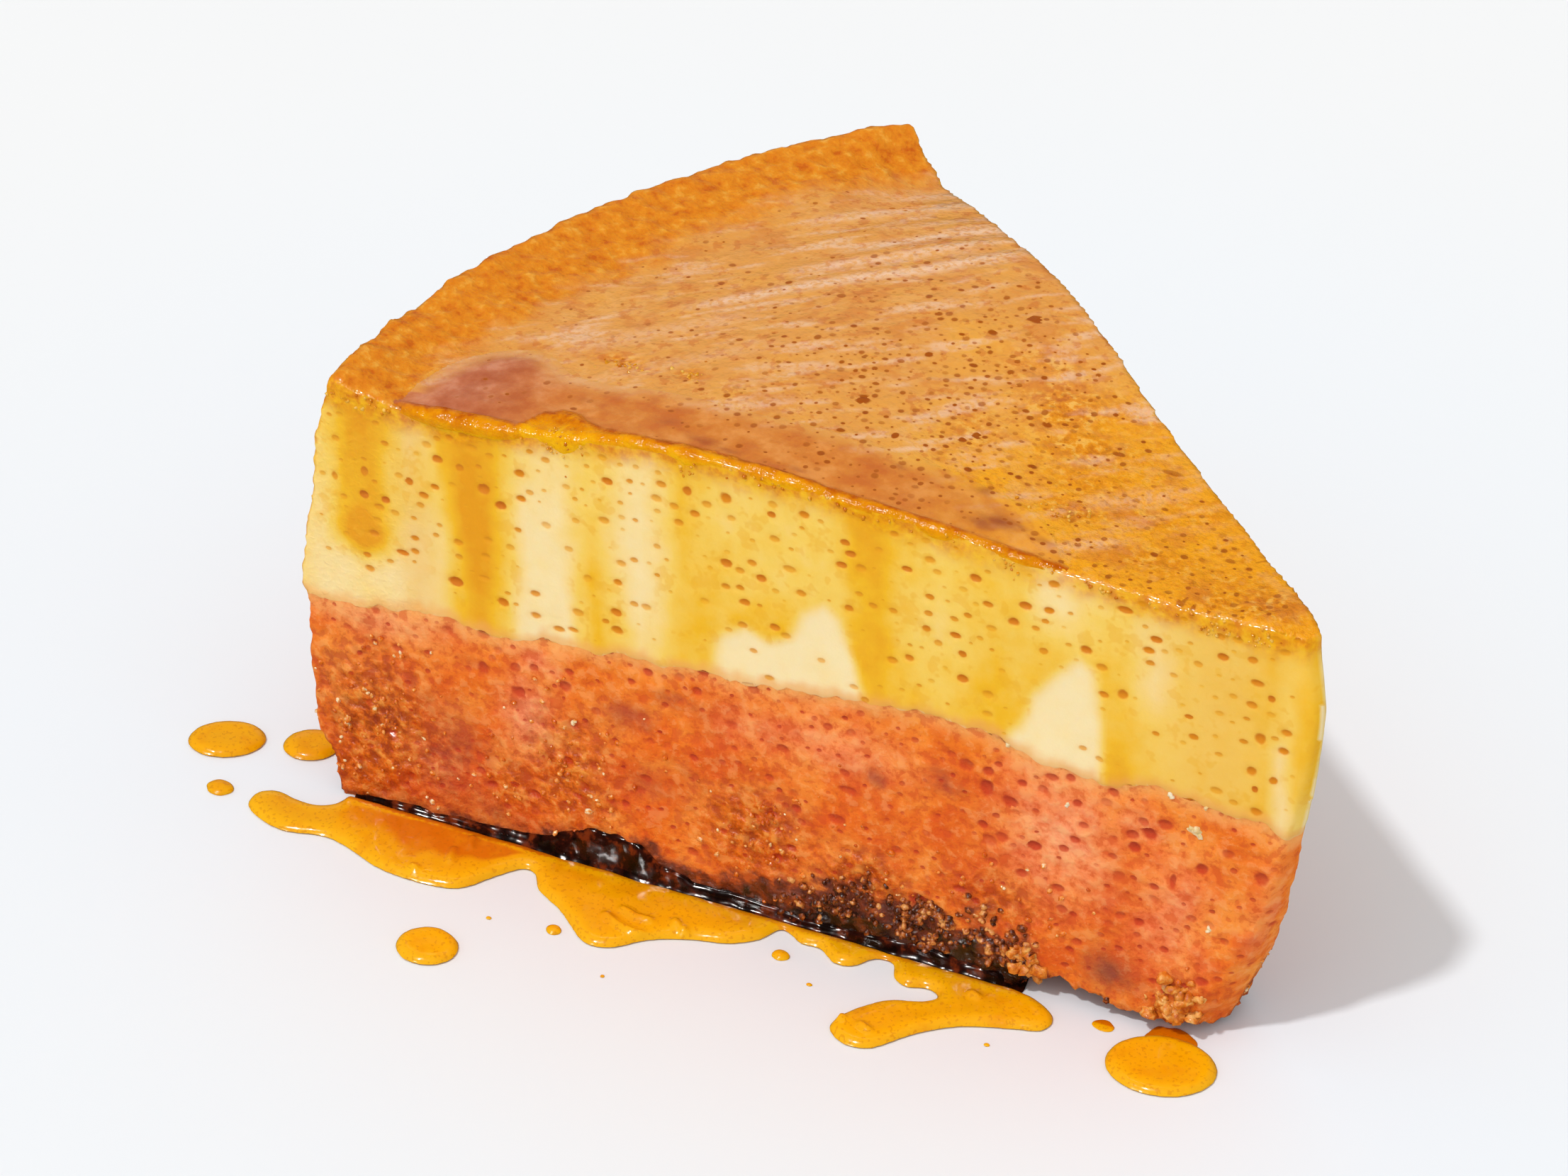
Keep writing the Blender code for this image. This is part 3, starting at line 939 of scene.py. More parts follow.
def dent(mesh, marks, depth):
    """Push the mesh in under every mark."""
    rows = mark_arrays(marks)
    tree = tree_of(marks)
    points = vertex_array(mesh)
    chosen = np.array([tree.find(point)[1] for point in points.tolist()])
    away = np.linalg.norm(offsets(points, rows, chosen), axis=1)
    push = rows.depth[chosen] * depth * np.clip(1.0 - (away / DENT_REACH) ** 2, 0.0, 1.0) ** 1.5
    move_vertices(mesh, points - vertex_array(mesh, normals=True) * push[:, None])


def label_corners(mesh, marks):
    """Give every face corner its place from the mark nearest to the face."""
    rows = mark_arrays(marks)
    tree = tree_of(marks)
    count = len(mesh.polygons)
    middles = np.zeros(count * 3)
    mesh.polygons.foreach_get("center", middles)
    found = [tree.find(point) for point in middles.reshape(-1, 3).tolist()]
    chosen = np.array([item[1] for item in found])
    gap = np.array([item[2] for item in found])
    totals = np.zeros(count, np.int32)
    mesh.polygons.foreach_get("loop_total", totals)
    owner = np.repeat(np.arange(count), totals)
    corner = np.zeros(len(mesh.loops), np.int32)
    mesh.loops.foreach_get("vertex_index", corner)
    places = offsets(vertex_array(mesh)[corner], rows, chosen[owner])
    places[gap[owner] > LABEL_REACH] = FAR_AWAY
    made = mesh.attributes.new("mark_place", "FLOAT_VECTOR", "CORNER")
    made.data.foreach_set("vector", places.astype(np.float32).ravel())
    made = mesh.attributes.new("mark_depth", "FLOAT", "CORNER")
    made.data.foreach_set("value", rows.depth[chosen[owner]].astype(np.float32))


def triangles(mesh):
    return sum(len(face.vertices) - 2 for face in mesh.polygons)


divide_near(custard_bm, pits)
divide_near(sponge_bm, pores)
custard_mesh = ready_mesh(custard_bm, "custard_body")
sponge_mesh = ready_mesh(sponge_bm, "sponge_body")
settle(pits + flecks, custard_mesh)
settle(pores, sponge_mesh)
dent(custard_mesh, pits, DENT)
dent(sponge_mesh, pores, DENT * PORE_DENT)
label_corners(custard_mesh, pits + flecks)
label_corners(sponge_mesh, pores)
print("custard", triangles(custard_mesh), "and sponge", triangles(sponge_mesh), "triangles")

# %% [markdown]
# ## What each vertex is
#
# The same fields that shaped the skin are worked out again on the finished layers and
# kept as named values: stain, skin, band, side and so on. Materials mix their colours by
# these names, so colour and relief always agree.

# %% Painted highlights along the ripples on the top
# The pale streaks on the top are painted highlights: light reflected along the ripple crests,
# painted into the colour.
PAINTED_HIGHLIGHT_STREAKS = ((73.6, 1.1, .9, 10, 46), (77.8, 1, .8, 12, 34), (81.4, .9, .9, 6, 27),
        (85.2, .8, .55, 6, 20), (90.2, 1.2, .75, 8, 27), (95, 1.4, .6, 6, 20),
        (69, 1.4, .35, 42, 62), (61, 1.2, .25, 40, 70), (49.5, .9, .45, 41, 52),
        (20.5, .9, .5, 14, 22), (27, 1, .4, 6, 16))
PAINTED_HIGHLIGHT_FADE = 3.0
PAINTED_HIGHLIGHT_WISPS = 0.6
RIPE_REACH = (26.0, 66.0)


def write_all(mesh, **fields):
    for name, values in fields.items():
        write_values(mesh, name, values)


def haze(across, at):
    """Painted highlights: pale streaks of reflected light along the crests of the ripples."""
    lengthwise = along_ripples(at)
    total = np.zeros(len(across))
    for centre, wide, strength, start, stop in PAINTED_HIGHLIGHT_STREAKS:
        inside = ease(lengthwise, start - PAINTED_HIGHLIGHT_FADE, start + PAINTED_HIGHLIGHT_FADE)
        inside *= ease(stop + 4.0 - lengthwise, 0, 8.0)
        total = np.maximum(total, strength * hump(across, centre, wide) * inside)
    rows = np.stack([across / 1.5, lengthwise / 8.0, 0.0 * across], 1)
    painted_wisps = ease(rough(rows, 1.0, 96, 3), 0.0, 0.7) * ease(across, 12.0, 40.0)
    return np.maximum(total, PAINTED_HIGHLIGHT_WISPS * painted_wisps)


print("haze streaks:", len(PAINTED_HIGHLIGHT_STREAKS))

# %% [markdown]
# ## Fields of the custard
#
# The lip is the strip just under the top edge, where caramel hangs. The seam is the
# strip just above the sponge. Both are measured from a line that wobbles, because a
# band of even width would look painted on.

# %% Keep the fields on the custard
custard_points = vertex_array(custard_mesh)
custard_side = sides(custard_points, vertex_array(custard_mesh, normals=True))
custard_at = custard_side.at
below_top = top_height(custard_at.reach) - custard_at.height
edge_wobble = 0.45 * rough(custard_points, 1.5, 91, 2) + 0.35 * rough(custard_points, 5.0, 92)
thin_lip = 1.0 - 0.5 * hump(custard_at.near_along, 31.0, 7.0) * custard_side.near
across_top = across_ripples(custard_at) + 1.2 * rough(custard_points, 12.0, 93)
ripe_reach = custard_at.reach + 5.0 * rough(custard_points, 14.0, 94, 2)
tan = hump(custard_at.near_along, 10.0, 7.0) + 0.9 * hump(custard_at.near_along, 100.6, 2.4)
over_line = custard_points[:, 2] - layer_line(custard_points)
# One of these fields holds the painted highlights of the top: pale streaks of reflected light along
# the ripples.
write_all(custard_mesh,
    stain=custard_stain(custard_points, custard_side), skin=ease(custard_side.top, 0.25, 0.75),
    band=band_share(custard_points, custard_at),
    lip=thin_lip * (1.0 - ease(below_top + edge_wobble, 0.9, 3.6)),
    haze=haze(across_top, custard_at) * custard_side.top, ripe=1.0 - ease(ripe_reach, *RIPE_REACH),
    rugged=rugged(custard_points, custard_at) * custard_side.top, rim=custard_side.rim,
    tan=np.maximum(tan * custard_side.near, custard_side.rim * 0.6),
    seam=1.0 - ease(over_line + edge_wobble, 0.0, 1.8),)
print("fields kept:", [item.name for item in custard_mesh.attributes if "." not in item.name])

# %% [markdown]
# ## Fields of the sponge
#
# Besides the patches worked out before, the sponge keeps where it drank from a streak
# above it, where its colour is deepest, and where a grey sheen is painted on for the
# shine of a film of sauce.

# %% Keep the fields on the sponge
DEEP = ((36, 17, 5.5, 7, 1.), (44.5, 17, 4, 8, .9), (20, 14, 3, 8, .8), (76.5, 23, 3.5, 5, .7),
        (64, 20, 4, 7, .6), (75, 14, 4, 5, .6), (38, 26, 3, 3, .7), (100, 19, 4, 4, .4),
        (8, 24, 3, 4, .4), (57, 20, 3, 6, .4), (107, 5, 7, 6, .9), (97, 7, 6, 8, .8),
        (90, 9, 4, 5, .5), (60, 11, 5, 5, .5))
# These patches are a painted sheen: grey-brown colour standing for the shine of a film of sauce.
PAINTED_SHEEN = ((43.2, 3.6, 2, 2.6, .8), (71, 3.2, 1.6, .8, .5), (20, 6.4, 2.6, 1.8, .75),
         (51, 5.5, 3, 1.6, .35), (92.5, 3.6, 1.8, 1.4, .4))
DRINKING_LEVEL = 31.0
DRUNK_DEPTH = 14.0

sponge_points = vertex_array(sponge_mesh)
sponge_side = sides(sponge_points, vertex_array(sponge_mesh, normals=True))
sponge_along = sponge_side.at.near_along
sponge_kept = dict(zip(("coral", "stained", "wet", "burnt"),
                       sponge_looks(sponge_points, sponge_side)))
under_line = layer_line(sponge_points) - sponge_points[:, 2]
seam_depth = 2.4 + 3.0 * hump(sponge_along, 105.0, 8.0)
streaks = near_stain(sponge_along, np.full(len(sponge_points), DRINKING_LEVEL))
drunk = np.clip(streaks, 0.0, 1.0) * sponge_side.near + 0.5 * (1.0 - sponge_side.near)
stray = 0.8 * rough(sponge_points, 2.5, 95)
write_all(sponge_mesh, **sponge_kept, seam=1.0 - ease(under_line, 0.2, seam_depth),
    drunk=drunk * (1.0 - ease(under_line, 0.0, DRUNK_DEPTH)), baked=sponge_side.rim,
    sheen=patches(sponge_along, sponge_points[:, 2], PAINTED_SHEEN) * sponge_side.near,
    deep=patches(sponge_along + stray, sponge_points[:, 2], DEEP) * sponge_side.near,)
print("average wetness of the sponge:", round(float(sponge_kept["wet"].mean()), 2))

# %% [markdown]
# ## A short way to write nodes
#
# A node tree is long to write out. These helpers add one node, set its options and feed
# its inputs with either a fixed value or another node's output. Colours are given as a
# painter's values from 0 to 255 and made linear, which is what the renderer mixes.

# %% Node helpers


def paint(red, green, blue):
    """A linear colour from values between 0 and 255."""
    shares = [value / 255.0 for value in (red, green, blue)]
    return tuple(v / 12.92 if v < 0.04045 else ((v + 0.055) / 1.055) ** 2.4
                 for v in shares) + (1.0,)


def node(tree, kind, feeds=None, **options):
    """Add a node, set its options, and give inputs a value or a link."""
    made = tree.nodes.new(kind)
    for key, value in options.items():
        setattr(made, key, value)
    for key, value in (feeds or {}).items():
        if isinstance(value, bpy.types.NodeSocket):
            tree.links.new(value, made.inputs[key])
        else:
            made.inputs[key].default_value = value
    return made


def sums(tree, operation, first, second=0.0, clamp=False):
    made = node(tree, "ShaderNodeMath", {0: first, 1: second}, operation=operation)
    made.use_clamp = clamp
    return made.outputs[0]


def times(tree, first, second, clamp=False):
    return sums(tree, "MULTIPLY", first, second, clamp)


def plus(tree, first, second, clamp=False):
    return sums(tree, "ADD", first, second, clamp)


def minus(tree, first, second):
    return sums(tree, "SUBTRACT", first, second)


def swing(tree, mask, share):
    """A mask from 0 to 1 made to swing evenly about zero."""
    return times(tree, minus(tree, mask, 0.5), share)


def mixed(tree, share, low, high):
    """From one colour to another as the share goes from 0 to 1."""
    made = node(tree, "ShaderNodeMix", data_type="RGBA", blend_type="MIX", clamp_factor=True)
    for index, value in ((0, share), (6, low), (7, high)):
        if isinstance(value, bpy.types.NodeSocket):
            tree.links.new(value, made.inputs[index])
        else:
            made.inputs[index].default_value = value
    return made.outputs[2]


def tint(tree, colour, mask, share, target):
    """Bring a colour towards a target where the mask is high, up to the given share."""
    return mixed(tree, times(tree, mask, share), colour, target)


def kept(tree, name):
    return node(tree, "ShaderNodeAttribute", attribute_name=name).outputs["Fac"]


def stretch(tree, value, low, high, start=0.0, end=1.0):
    """Ease from start to end while value goes from low to high."""
    made = node(tree, "ShaderNodeMapRange", {
        "Value": value, "From Min": low, "From Max": high, "To Min": start, "To Max": end,
    }, interpolation_type="SMOOTHSTEP")
    return made.outputs["Result"]


def ramp(tree, value, stops):
    """Colours along a value. Each row is a place from 0 to 1 and its red, green, blue."""
    made = node(tree, "ShaderNodeValToRGB", {"Fac": value})
    band = made.color_ramp
    while len(band.elements) < len(stops):
        band.elements.new(0.5)
    for element, (place, *colour) in zip(band.elements, stops):
        element.position = place
        element.color = paint(*colour)
    return made.outputs["Color"]


def new_group(name, inputs, outputs):
    tree = bpy.data.node_groups.new(name, "ShaderNodeTree")
    for title, kind, start in inputs:
        made = tree.interface.new_socket(title, in_out="INPUT", socket_type=kind)
        if start is not None:
            made.default_value = start
    for title, kind in outputs:
        tree.interface.new_socket(title, in_out="OUTPUT", socket_type=kind)
    return tree, tree.nodes.new("NodeGroupInput").outputs, tree.nodes.new("NodeGroupOutput")


def use(tree, group, feeds):
    return node(tree, "ShaderNodeGroup", feeds, node_tree=group).outputs


FLOAT = "NodeSocketFloat"
VECTOR = "NodeSocketVector"
COLOUR = "NodeSocketColor"
print("cream, linear:", [round(value, 3) for value in paint(250, 226, 160)])

# %% [markdown]
# ## Effects that several finishes share
#
# Some effects come back in several finishes, so each is a node group: cloudy mottling,
# the relief of packed wet grains, and the round marks labelled above. A group is built
# once and placed in each material with its own sizes.

# %% Shared node groups


def build_mottle():
    """Cloudy variation from 0 to 1; Size is in millimetres."""
    tree, given, out = new_group(
        "mottle", [("Size", FLOAT, 3.0), ("Detail", FLOAT, 3.0), ("Contrast", FLOAT, 1.0)],
        [("Mask", FLOAT)])
    place = node(tree, "ShaderNodeTexCoord").outputs["Object"]
    scale = sums(tree, "DIVIDE", 1.0 / MM, given["Size"])
    cloud = node(tree, "ShaderNodeTexNoise", {
        "Vector": place, "Scale": scale, "Detail": given["Detail"], "Roughness": 0.6,
    }).outputs["Fac"]
    wider = times(tree, minus(tree, cloud, 0.5), times(tree, given["Contrast"], 2.5))
    tree.links.new(plus(tree, wider, 0.5, clamp=True), out.inputs["Mask"])
    return tree


def build_grain():
    """Height of packed grains with a little noise; Size is in millimetres."""
    tree, given, out = new_group("grain", [("Size", FLOAT, 0.8), ("Amount", FLOAT, 1.0)],
        [("Height", FLOAT), ("Gap", FLOAT)])
    place = node(tree, "ShaderNodeTexCoord").outputs["Object"]
    scale = sums(tree, "DIVIDE", 1.0 / MM, given["Size"])
    warp = node(tree, "ShaderNodeTexNoise", {"Vector": place, "Scale": scale, "Detail": 2.0})
    bent = node(tree, "ShaderNodeVectorMath", {
        0: warp.outputs["Color"], 1: (0.0012, 0.0012, 0.0012)}, operation="MULTIPLY")
    spot = node(tree, "ShaderNodeVectorMath", {0: place, 1: bent.outputs[0]}, operation="ADD")
    cells = node(tree, "ShaderNodeTexVoronoi", {"Vector": spot.outputs[0], "Scale": scale},
                 feature="SMOOTH_F1").outputs["Distance"]
    height = minus(tree, 1.0, cells)
    fine = times(tree, warp.outputs["Fac"], 0.35)
    total = times(tree, plus(tree, height, fine), given["Amount"])
    tree.links.new(total, out.inputs["Height"])
    tree.links.new(stretch(tree, cells, 0.35, 0.75), out.inputs["Gap"])
    return tree


def build_marks():
    """Ovals round the labelled marks, and a mask of painted shade on the high side of each."""
    tree, given, out = new_group("round_marks", [("Place", VECTOR, None), ("Depth", FLOAT, 1.0)],
        [("Mask", FLOAT), ("Shaded_upper", FLOAT), ("Halo", FLOAT)])
    wobble = node(tree, "ShaderNodeTexNoise", {
        "Vector": node(tree, "ShaderNodeTexCoord").outputs["Object"], "Scale": 900.0})
    away = node(tree, "ShaderNodeVectorMath", {0: given["Place"]}, operation="LENGTH")
    uneven = plus(tree, away.outputs["Value"], swing(tree, wobble.outputs["Fac"], 0.7))
    inside = times(tree, stretch(tree, uneven, 0.6, 1.1, 1.0, 0.0), given["Depth"])
    level = node(tree, "ShaderNodeSeparateXYZ", {0: given["Place"]}).outputs["Y"]
    shaded_upper = times(tree, inside, stretch(tree, level, -0.5, 0.8))
    halo = times(tree, stretch(tree, uneven, 0.8, 2.1, 1.0, 0.0), given["Depth"])
    tree.links.new(inside, out.inputs["Mask"])
    tree.links.new(shaded_upper, out.inputs["Shaded_upper"])
    tree.links.new(halo, out.inputs["Halo"])
    return tree


MOTTLE = build_mottle()
GRAIN = build_grain()
MARKS = build_marks()


def mottle(tree, size, detail=3.0, contrast=1.0):
    """The mottle group's mask, placed with its own values."""
    return use(tree, MOTTLE, {"Size": size, "Detail": detail, "Contrast": contrast})["Mask"]


def mark_feeds(tree):
    """The labels that a mesh with marks keeps on its corners."""
    place = node(tree, "ShaderNodeAttribute", attribute_name="mark_place").outputs["Vector"]
    return {"Place": place, "Depth": kept(tree, "mark_depth")}


def new_finish(name, **plain):
    """A material whose unchanging values sit on the shader's own sockets."""
    made = bpy.data.materials.new(name)
    made.use_nodes = True
    shader = made.node_tree.nodes["Principled BSDF"]
    for key, value in plain.items():
        shader.inputs[key.replace("_", " ")].default_value = value
    return made, made.node_tree, shader


def feed(tree, shader, **sources):
    """Link outputs to the shader's sockets, named with _ for each space."""
    for key, value in sources.items():
        tree.links.new(value, shader.inputs[key.replace("_", " ")])


def bump(tree, height, depth, strength=1.0):
    """Fine relief; depth is in millimetres."""
    return node(tree, "ShaderNodeBump", {
        "Height": height, "Distance": depth * MM, "Strength": strength}).outputs["Normal"]


print("first groups:", [group.name for group in bpy.data.node_groups])

# %% [markdown]
# ## The skin of the top, and pits
#
# The skin is seen bare on the custard and again through the thin film of caramel, and
# both carry the same pits and flecks. So these two are groups as well. The first puts
# out the colour of the skin, from tan to a riper gold, with painted highlights along the
# ripples. The second takes any colour and draws the marks on it, with painted shade on
# the high side of each.

# %% Groups for the skin and its marks


def build_skin():
    tree, given, out = new_group(
        "skin", [("Ripe", FLOAT, 0.0), ("Rugged", FLOAT, 0.0), ("Haze", FLOAT, 0.0)],
        [("Color", COLOUR)])
    grainy = mottle(tree, 0.8, 4.0, 1.3)
    ripe = plus(tree, given["Ripe"], swing(tree, mottle(tree, 8.0, 5.0, 1.0), 0.5))
    colour = ramp(tree, ripe, ((0.0, 228, 156, 72), (0.4, 236, 166, 66), (0.75, 244, 166, 32),
        (1.0, 248, 166, 20)))
    lump = times(tree, stretch(tree, grainy, 0.55, 0.95), stretch(tree, ripe, 0.3, 1.0))
    colour = tint(tree, colour, lump, 0.42, paint(214, 120, 12))
    pale = stretch(tree, mottle(tree, 2.4, 4.0, 1.4), 0.6, 1.0)
    colour = tint(tree, colour, pale, 0.35, paint(240, 178, 100))
    torn = ramp(tree, mottle(tree, 1.1, 5.0, 1.6), (
        (0.1, 192, 90, 0), (0.35, 222, 124, 4), (0.65, 234, 148, 28), (0.95, 248, 190, 90)))
    colour = tint(tree, colour, given["Rugged"], 0.85, torn)
    dusky = stretch(tree, mottle(tree, 5.0, 3.0, 1.4), 0.66, 1.0)
    colour = tint(tree, colour, dusky, 0.4, paint(208, 114, 44))
    specks = stretch(tree, mottle(tree, 1.5, 5.0, 1.7), 0.7, 1.0)
    specks = times(tree, specks, stretch(tree, ripe, 0.9, 0.2, 0.1, 0.55))
    colour = mixed(tree, specks, colour, paint(206, 112, 44))
    # Painted highlight: along the streaks of reflected light the skin turns a pale pink-white.
    painted_highlight_share = times(tree, given["Haze"], stretch(tree, grainy, 0.1, 0.7, 0.25, 0.85))
    tree.links.new(mixed(tree, painted_highlight_share, colour, paint(244, 206, 176)), out.inputs["Color"])
    return tree


def build_pitted():
    """Marks drawn on a colour; shallow ones are yellower, those in skin are browner, and the high
    side of each is darkened as painted shade.
    """
    tree, given, out = new_group(
        "pitted", [("Base", COLOUR, None), ("Skin", FLOAT, 0.0), ("Place", VECTOR, None),
                   ("Depth", FLOAT, 1.0)], [("Color", COLOUR)])
    skin = given["Skin"]
    marks = use(tree, MARKS, {"Place": given["Place"], "Depth": given["Depth"]})
    in_pit = ramp(tree, given["Depth"], (
        (0.3, 246, 180, 10), (0.65, 234, 152, 0), (1.0, 218, 120, 0)))
    hollow = mixed(tree, skin, in_pit, paint(168, 82, 6))
    stained_ring = mixed(tree, skin, paint(236, 166, 10), paint(214, 124, 20))
    colour = tint(tree, given["Base"], marks["Halo"], 0.22, stained_ring)
    colour = mixed(tree, times(tree, marks["Mask"], 1.25, clamp=True), colour, hollow)
    # Painted shade: the high side of each pit is darker, where its lip would shade it.
    colour = tint(tree, colour, marks["Shaded_upper"], 0.5, paint(172, 76, 0))
    tree.links.new(colour, out.inputs["Color"])
    return tree


SKIN = build_skin()
PITTED = build_pitted()


def pitted(tree, colour, skin):
    return use(tree, PITTED, {"Base": colour, "Skin": skin, **mark_feeds(tree)})["Color"]


print("groups:", [group.name for group in bpy.data.node_groups])

# %% [markdown]
# ## Custard
#
# Set custard lets light in, so it takes some subsurface scattering: red travels furthest
# and blue least, which gives the warm glow at thin edges. Its colour runs from cream
# through yellow to amber as the stain deepens. The skin on top is tan with a wet coat,
# and the baked band is a rough golden orange.

# %% The custard's finish


def cut_custard(tree, cloud):
    stain = plus(tree, kept(tree, "stain"), swing(tree, cloud, 0.12))
    colour = ramp(tree, stain, ((0.0, 252, 228, 174), (0.28, 251, 217, 138), (0.5, 249, 207, 92),
        (0.72, 245, 187, 24), (0.92, 235, 158, 0)))
    colour = tint(tree, colour, kept(tree, "tan"), 0.45, paint(238, 184, 90))
    baked = ramp(tree, cloud, ((0.2, 218, 122, 12), (0.8, 238, 168, 50)))
    colour = tint(tree, colour, kept(tree, "rim"), 0.7, baked)
    freckle = stretch(tree, mottle(tree, 2.2, 2.0, 1.4), 0.72, 1.0)
    freckle = times(tree, freckle, stretch(tree, stain, 0.15, 0.45))
    colour = tint(tree, colour, freckle, 0.35, paint(238, 172, 24))
    colour = tint(tree, colour, kept(tree, "seam"), 0.7, paint(243, 166, 84))
    amber = ramp(tree, mottle(tree, 1.3, 3.0, 1.1), (
        (0.1, 218, 122, 0), (0.5, 238, 158, 0), (0.9, 246, 182, 10)))
    return tint(tree, colour, kept(tree, "lip"), 0.9, amber)


def custard_relief(tree, skin, band, lip):
    """Fine relief: grain on the band, leather on the ripe skin, and lumps in the lip."""
    grain = use(tree, GRAIN, {"Size": 0.65, "Amount": times(tree, band, 0.5)})["Height"]
    fine = times(tree, mottle(tree, 0.35, 2.0, 0.6), 0.12)
    leather = times(tree, times(tree, kept(tree, "ripe"), skin),
                    times(tree, mottle(tree, 1.0, 4.0, 1.2), 0.9))
    lumps = times(tree, times(tree, lip, mottle(tree, 1.6, 2.0)), 0.7)
    return plus(tree, plus(tree, grain, fine), plus(tree, lumps, leather))


def custard_finish():
    made, tree, shader = new_finish(
        "custard", Subsurface_Weight=0.2, Subsurface_Radius=(1.0, 0.5, 0.15),
        Subsurface_Scale=0.0012, Coat_Roughness=0.08, IOR=1.4, Specular_IOR_Level=0.3)
    skin, band, lip = kept(tree, "skin"), kept(tree, "band"), kept(tree, "lip")
    golden = ramp(tree, mottle(tree, 1.6, 5.0, 1.1), (
        (0.0, 206, 98, 0), (0.3, 223, 126, 8), (0.7, 232, 142, 20), (1.0, 240, 166, 56)))
    # The bare skin brings the painted highlights of the top with it.
    bare_skin = use(tree, SKIN, {name.capitalize(): kept(tree, name)
                                 for name in ("ripe", "rugged", "haze")})["Color"]
    top = mixed(tree, band, bare_skin, golden)
    cut = cut_custard(tree, mottle(tree, 2.6, 4.0, 0.9))
    colour = pitted(tree, mixed(tree, skin, cut, top), skin)
    rough_skin = plus(tree, 0.42, times(tree, band, 0.14))
    rough_skin = minus(tree, rough_skin, times(tree, lip, 0.2))
    coat = plus(tree, 0.1, times(tree, lip, 0.3))
    feed(tree, shader, Base_Color=colour, Roughness=rough_skin, Coat_Weight=coat,
         Normal=bump(tree, custard_relief(tree, skin, band, lip), 0.2))
    return made


custard_look = custard_finish()
print("custard finish:", len(custard_look.node_tree.nodes), "nodes")

# %% [markdown]
# ## Sponge
#
# Sponge scatters light in its pores and looks soft and matt where it is dry. Where sauce
# has soaked in it is darker and its grains shine, so wetness lowers the roughness and
# raises the coat. The foot is nearly black, burnt caramel.

# %% The sponge's finish


def dry_sponge(tree, cloud, crumb):
    colour = ramp(tree, cloud, ((0.1, 230, 96, 0), (0.45, 241, 116, 8), (0.9, 250, 144, 44)))
    colour = tint(tree, colour, kept(tree, "drunk"), 0.6, paint(242, 130, 8))
    colour = tint(tree, colour, kept(tree, "seam"), 0.75, paint(252, 168, 88))
    deepest = mixed(tree, cloud, paint(216, 78, 0), paint(234, 108, 6))
    colour = tint(tree, colour, kept(tree, "deep"), 0.8, deepest)
    coral = mixed(tree, crumb, paint(255, 176, 128), paint(252, 142, 92))
    colour = tint(tree, colour, kept(tree, "coral"), 0.85, coral)
    crumbed = times(tree, stretch(tree, crumb, 0.55, 1.0),
                    stretch(tree, kept(tree, "coral"), 0.2, 1.0, 0.5, 0.3))
    colour = mixed(tree, crumbed, colour, paint(206, 66, 8))
    return mixed(tree, stretch(tree, crumb, 0.42, 0.05, 0.0, 0.25), colour, paint(255, 180, 110))


def soaked_sponge(tree, colour, cloud, crumb, grain_gap):
    wet = kept(tree, "wet")
    stained = times(tree, kept(tree, "stained"), stretch(tree, cloud, 0.1, 0.6))
    colour = tint(tree, colour, stained, 0.8, paint(168, 58, 38))
    soaked = ramp(tree, crumb, ((0.1, 246, 154, 56), (0.45, 226, 104, 12), (0.85, 160, 58, 4)))
    colour = tint(tree, colour, wet, 0.85, soaked)
    baked = ramp(tree, crumb, ((0.1, 226, 128, 36), (0.8, 170, 74, 10)))
    colour = tint(tree, colour, kept(tree, "baked"), 0.5, baked)
    gap = times(tree, grain_gap, times(tree, wet, 0.7))
    return mixed(tree, gap, colour, paint(148, 46, 2))


def burnt_sponge(tree, colour, crumb):
    marks = use(tree, MARKS, mark_feeds(tree))
    # Halo and hollow are the pores' own colour; their darker high side is painted shade.
    for part, share, target in (("Halo", 0.2, paint(226, 84, 14)), ("Mask", 0.9, paint(204, 54, 8)),
                                ("Shaded_upper", 0.6, paint(140, 28, 4))):
        colour = tint(tree, colour, marks[part], share, target)
    burnt = kept(tree, "burnt")
    dark = ramp(tree, plus(tree, burnt, swing(tree, crumb, 0.5)), (
        (0.15, 196, 86, 20), (0.42, 136, 56, 20), (0.65, 108, 42, 18), (1.0, 34, 10, 5)))
    colour = mixed(tree, stretch(tree, burnt, 0.0, 0.3), colour, dark)
    # Painted sheen: grey-brown patches stand for the shine of a film of sauce.
    return tint(tree, colour, kept(tree, "sheen"), 0.8, paint(112, 62, 50))


def sponge_finish():
    made, tree, shader = new_finish(
        "sponge", Subsurface_Weight=0.25, Subsurface_Radius=(1.0, 0.4, 0.15),
        Subsurface_Scale=0.0018, Coat_Roughness=0.2, IOR=1.4, Specular_IOR_Level=0.35)
    cloud, crumb = mottle(tree, 4.5, 3.0, 1.2), mottle(tree, 1.5, 4.0, 1.5)
    grain = use(tree, GRAIN, {"Size": 1.15, "Amount": 1.0})
    colour = dry_sponge(tree, cloud, crumb)
    colour = soaked_sponge(tree, colour, cloud, crumb, grain["Gap"])
    colour = burnt_sponge(tree, colour, crumb)
    damp = sums(tree, "MAXIMUM", kept(tree, "wet"), kept(tree, "burnt"))
    grainy = times(tree, grain["Height"], plus(tree, 0.2, times(tree, damp, 0.9)))
    feed(tree, shader, Base_Color=colour, Roughness=stretch(tree, damp, 0.0, 0.8, 0.8, 0.26),
         Coat_Weight=stretch(tree, damp, 0.2, 1.0, 0.0, 0.6),
         Normal=bump(tree, minus(tree, grainy, times(tree, crumb, 0.35)), 0.4))
    return made


sponge_look = sponge_finish()
print("sponge finish:", len(sponge_look.node_tree.nodes), "nodes")

# %% [markdown]
# ## Putting a piece in place
#
# Every finished mesh is turned into metres, takes its finish and is given to an object that
# stays at the origin. The piece then rides on the slice's only body, and the CAD nodes
# that it stands for, if any, are hidden.

# %% Finish a piece


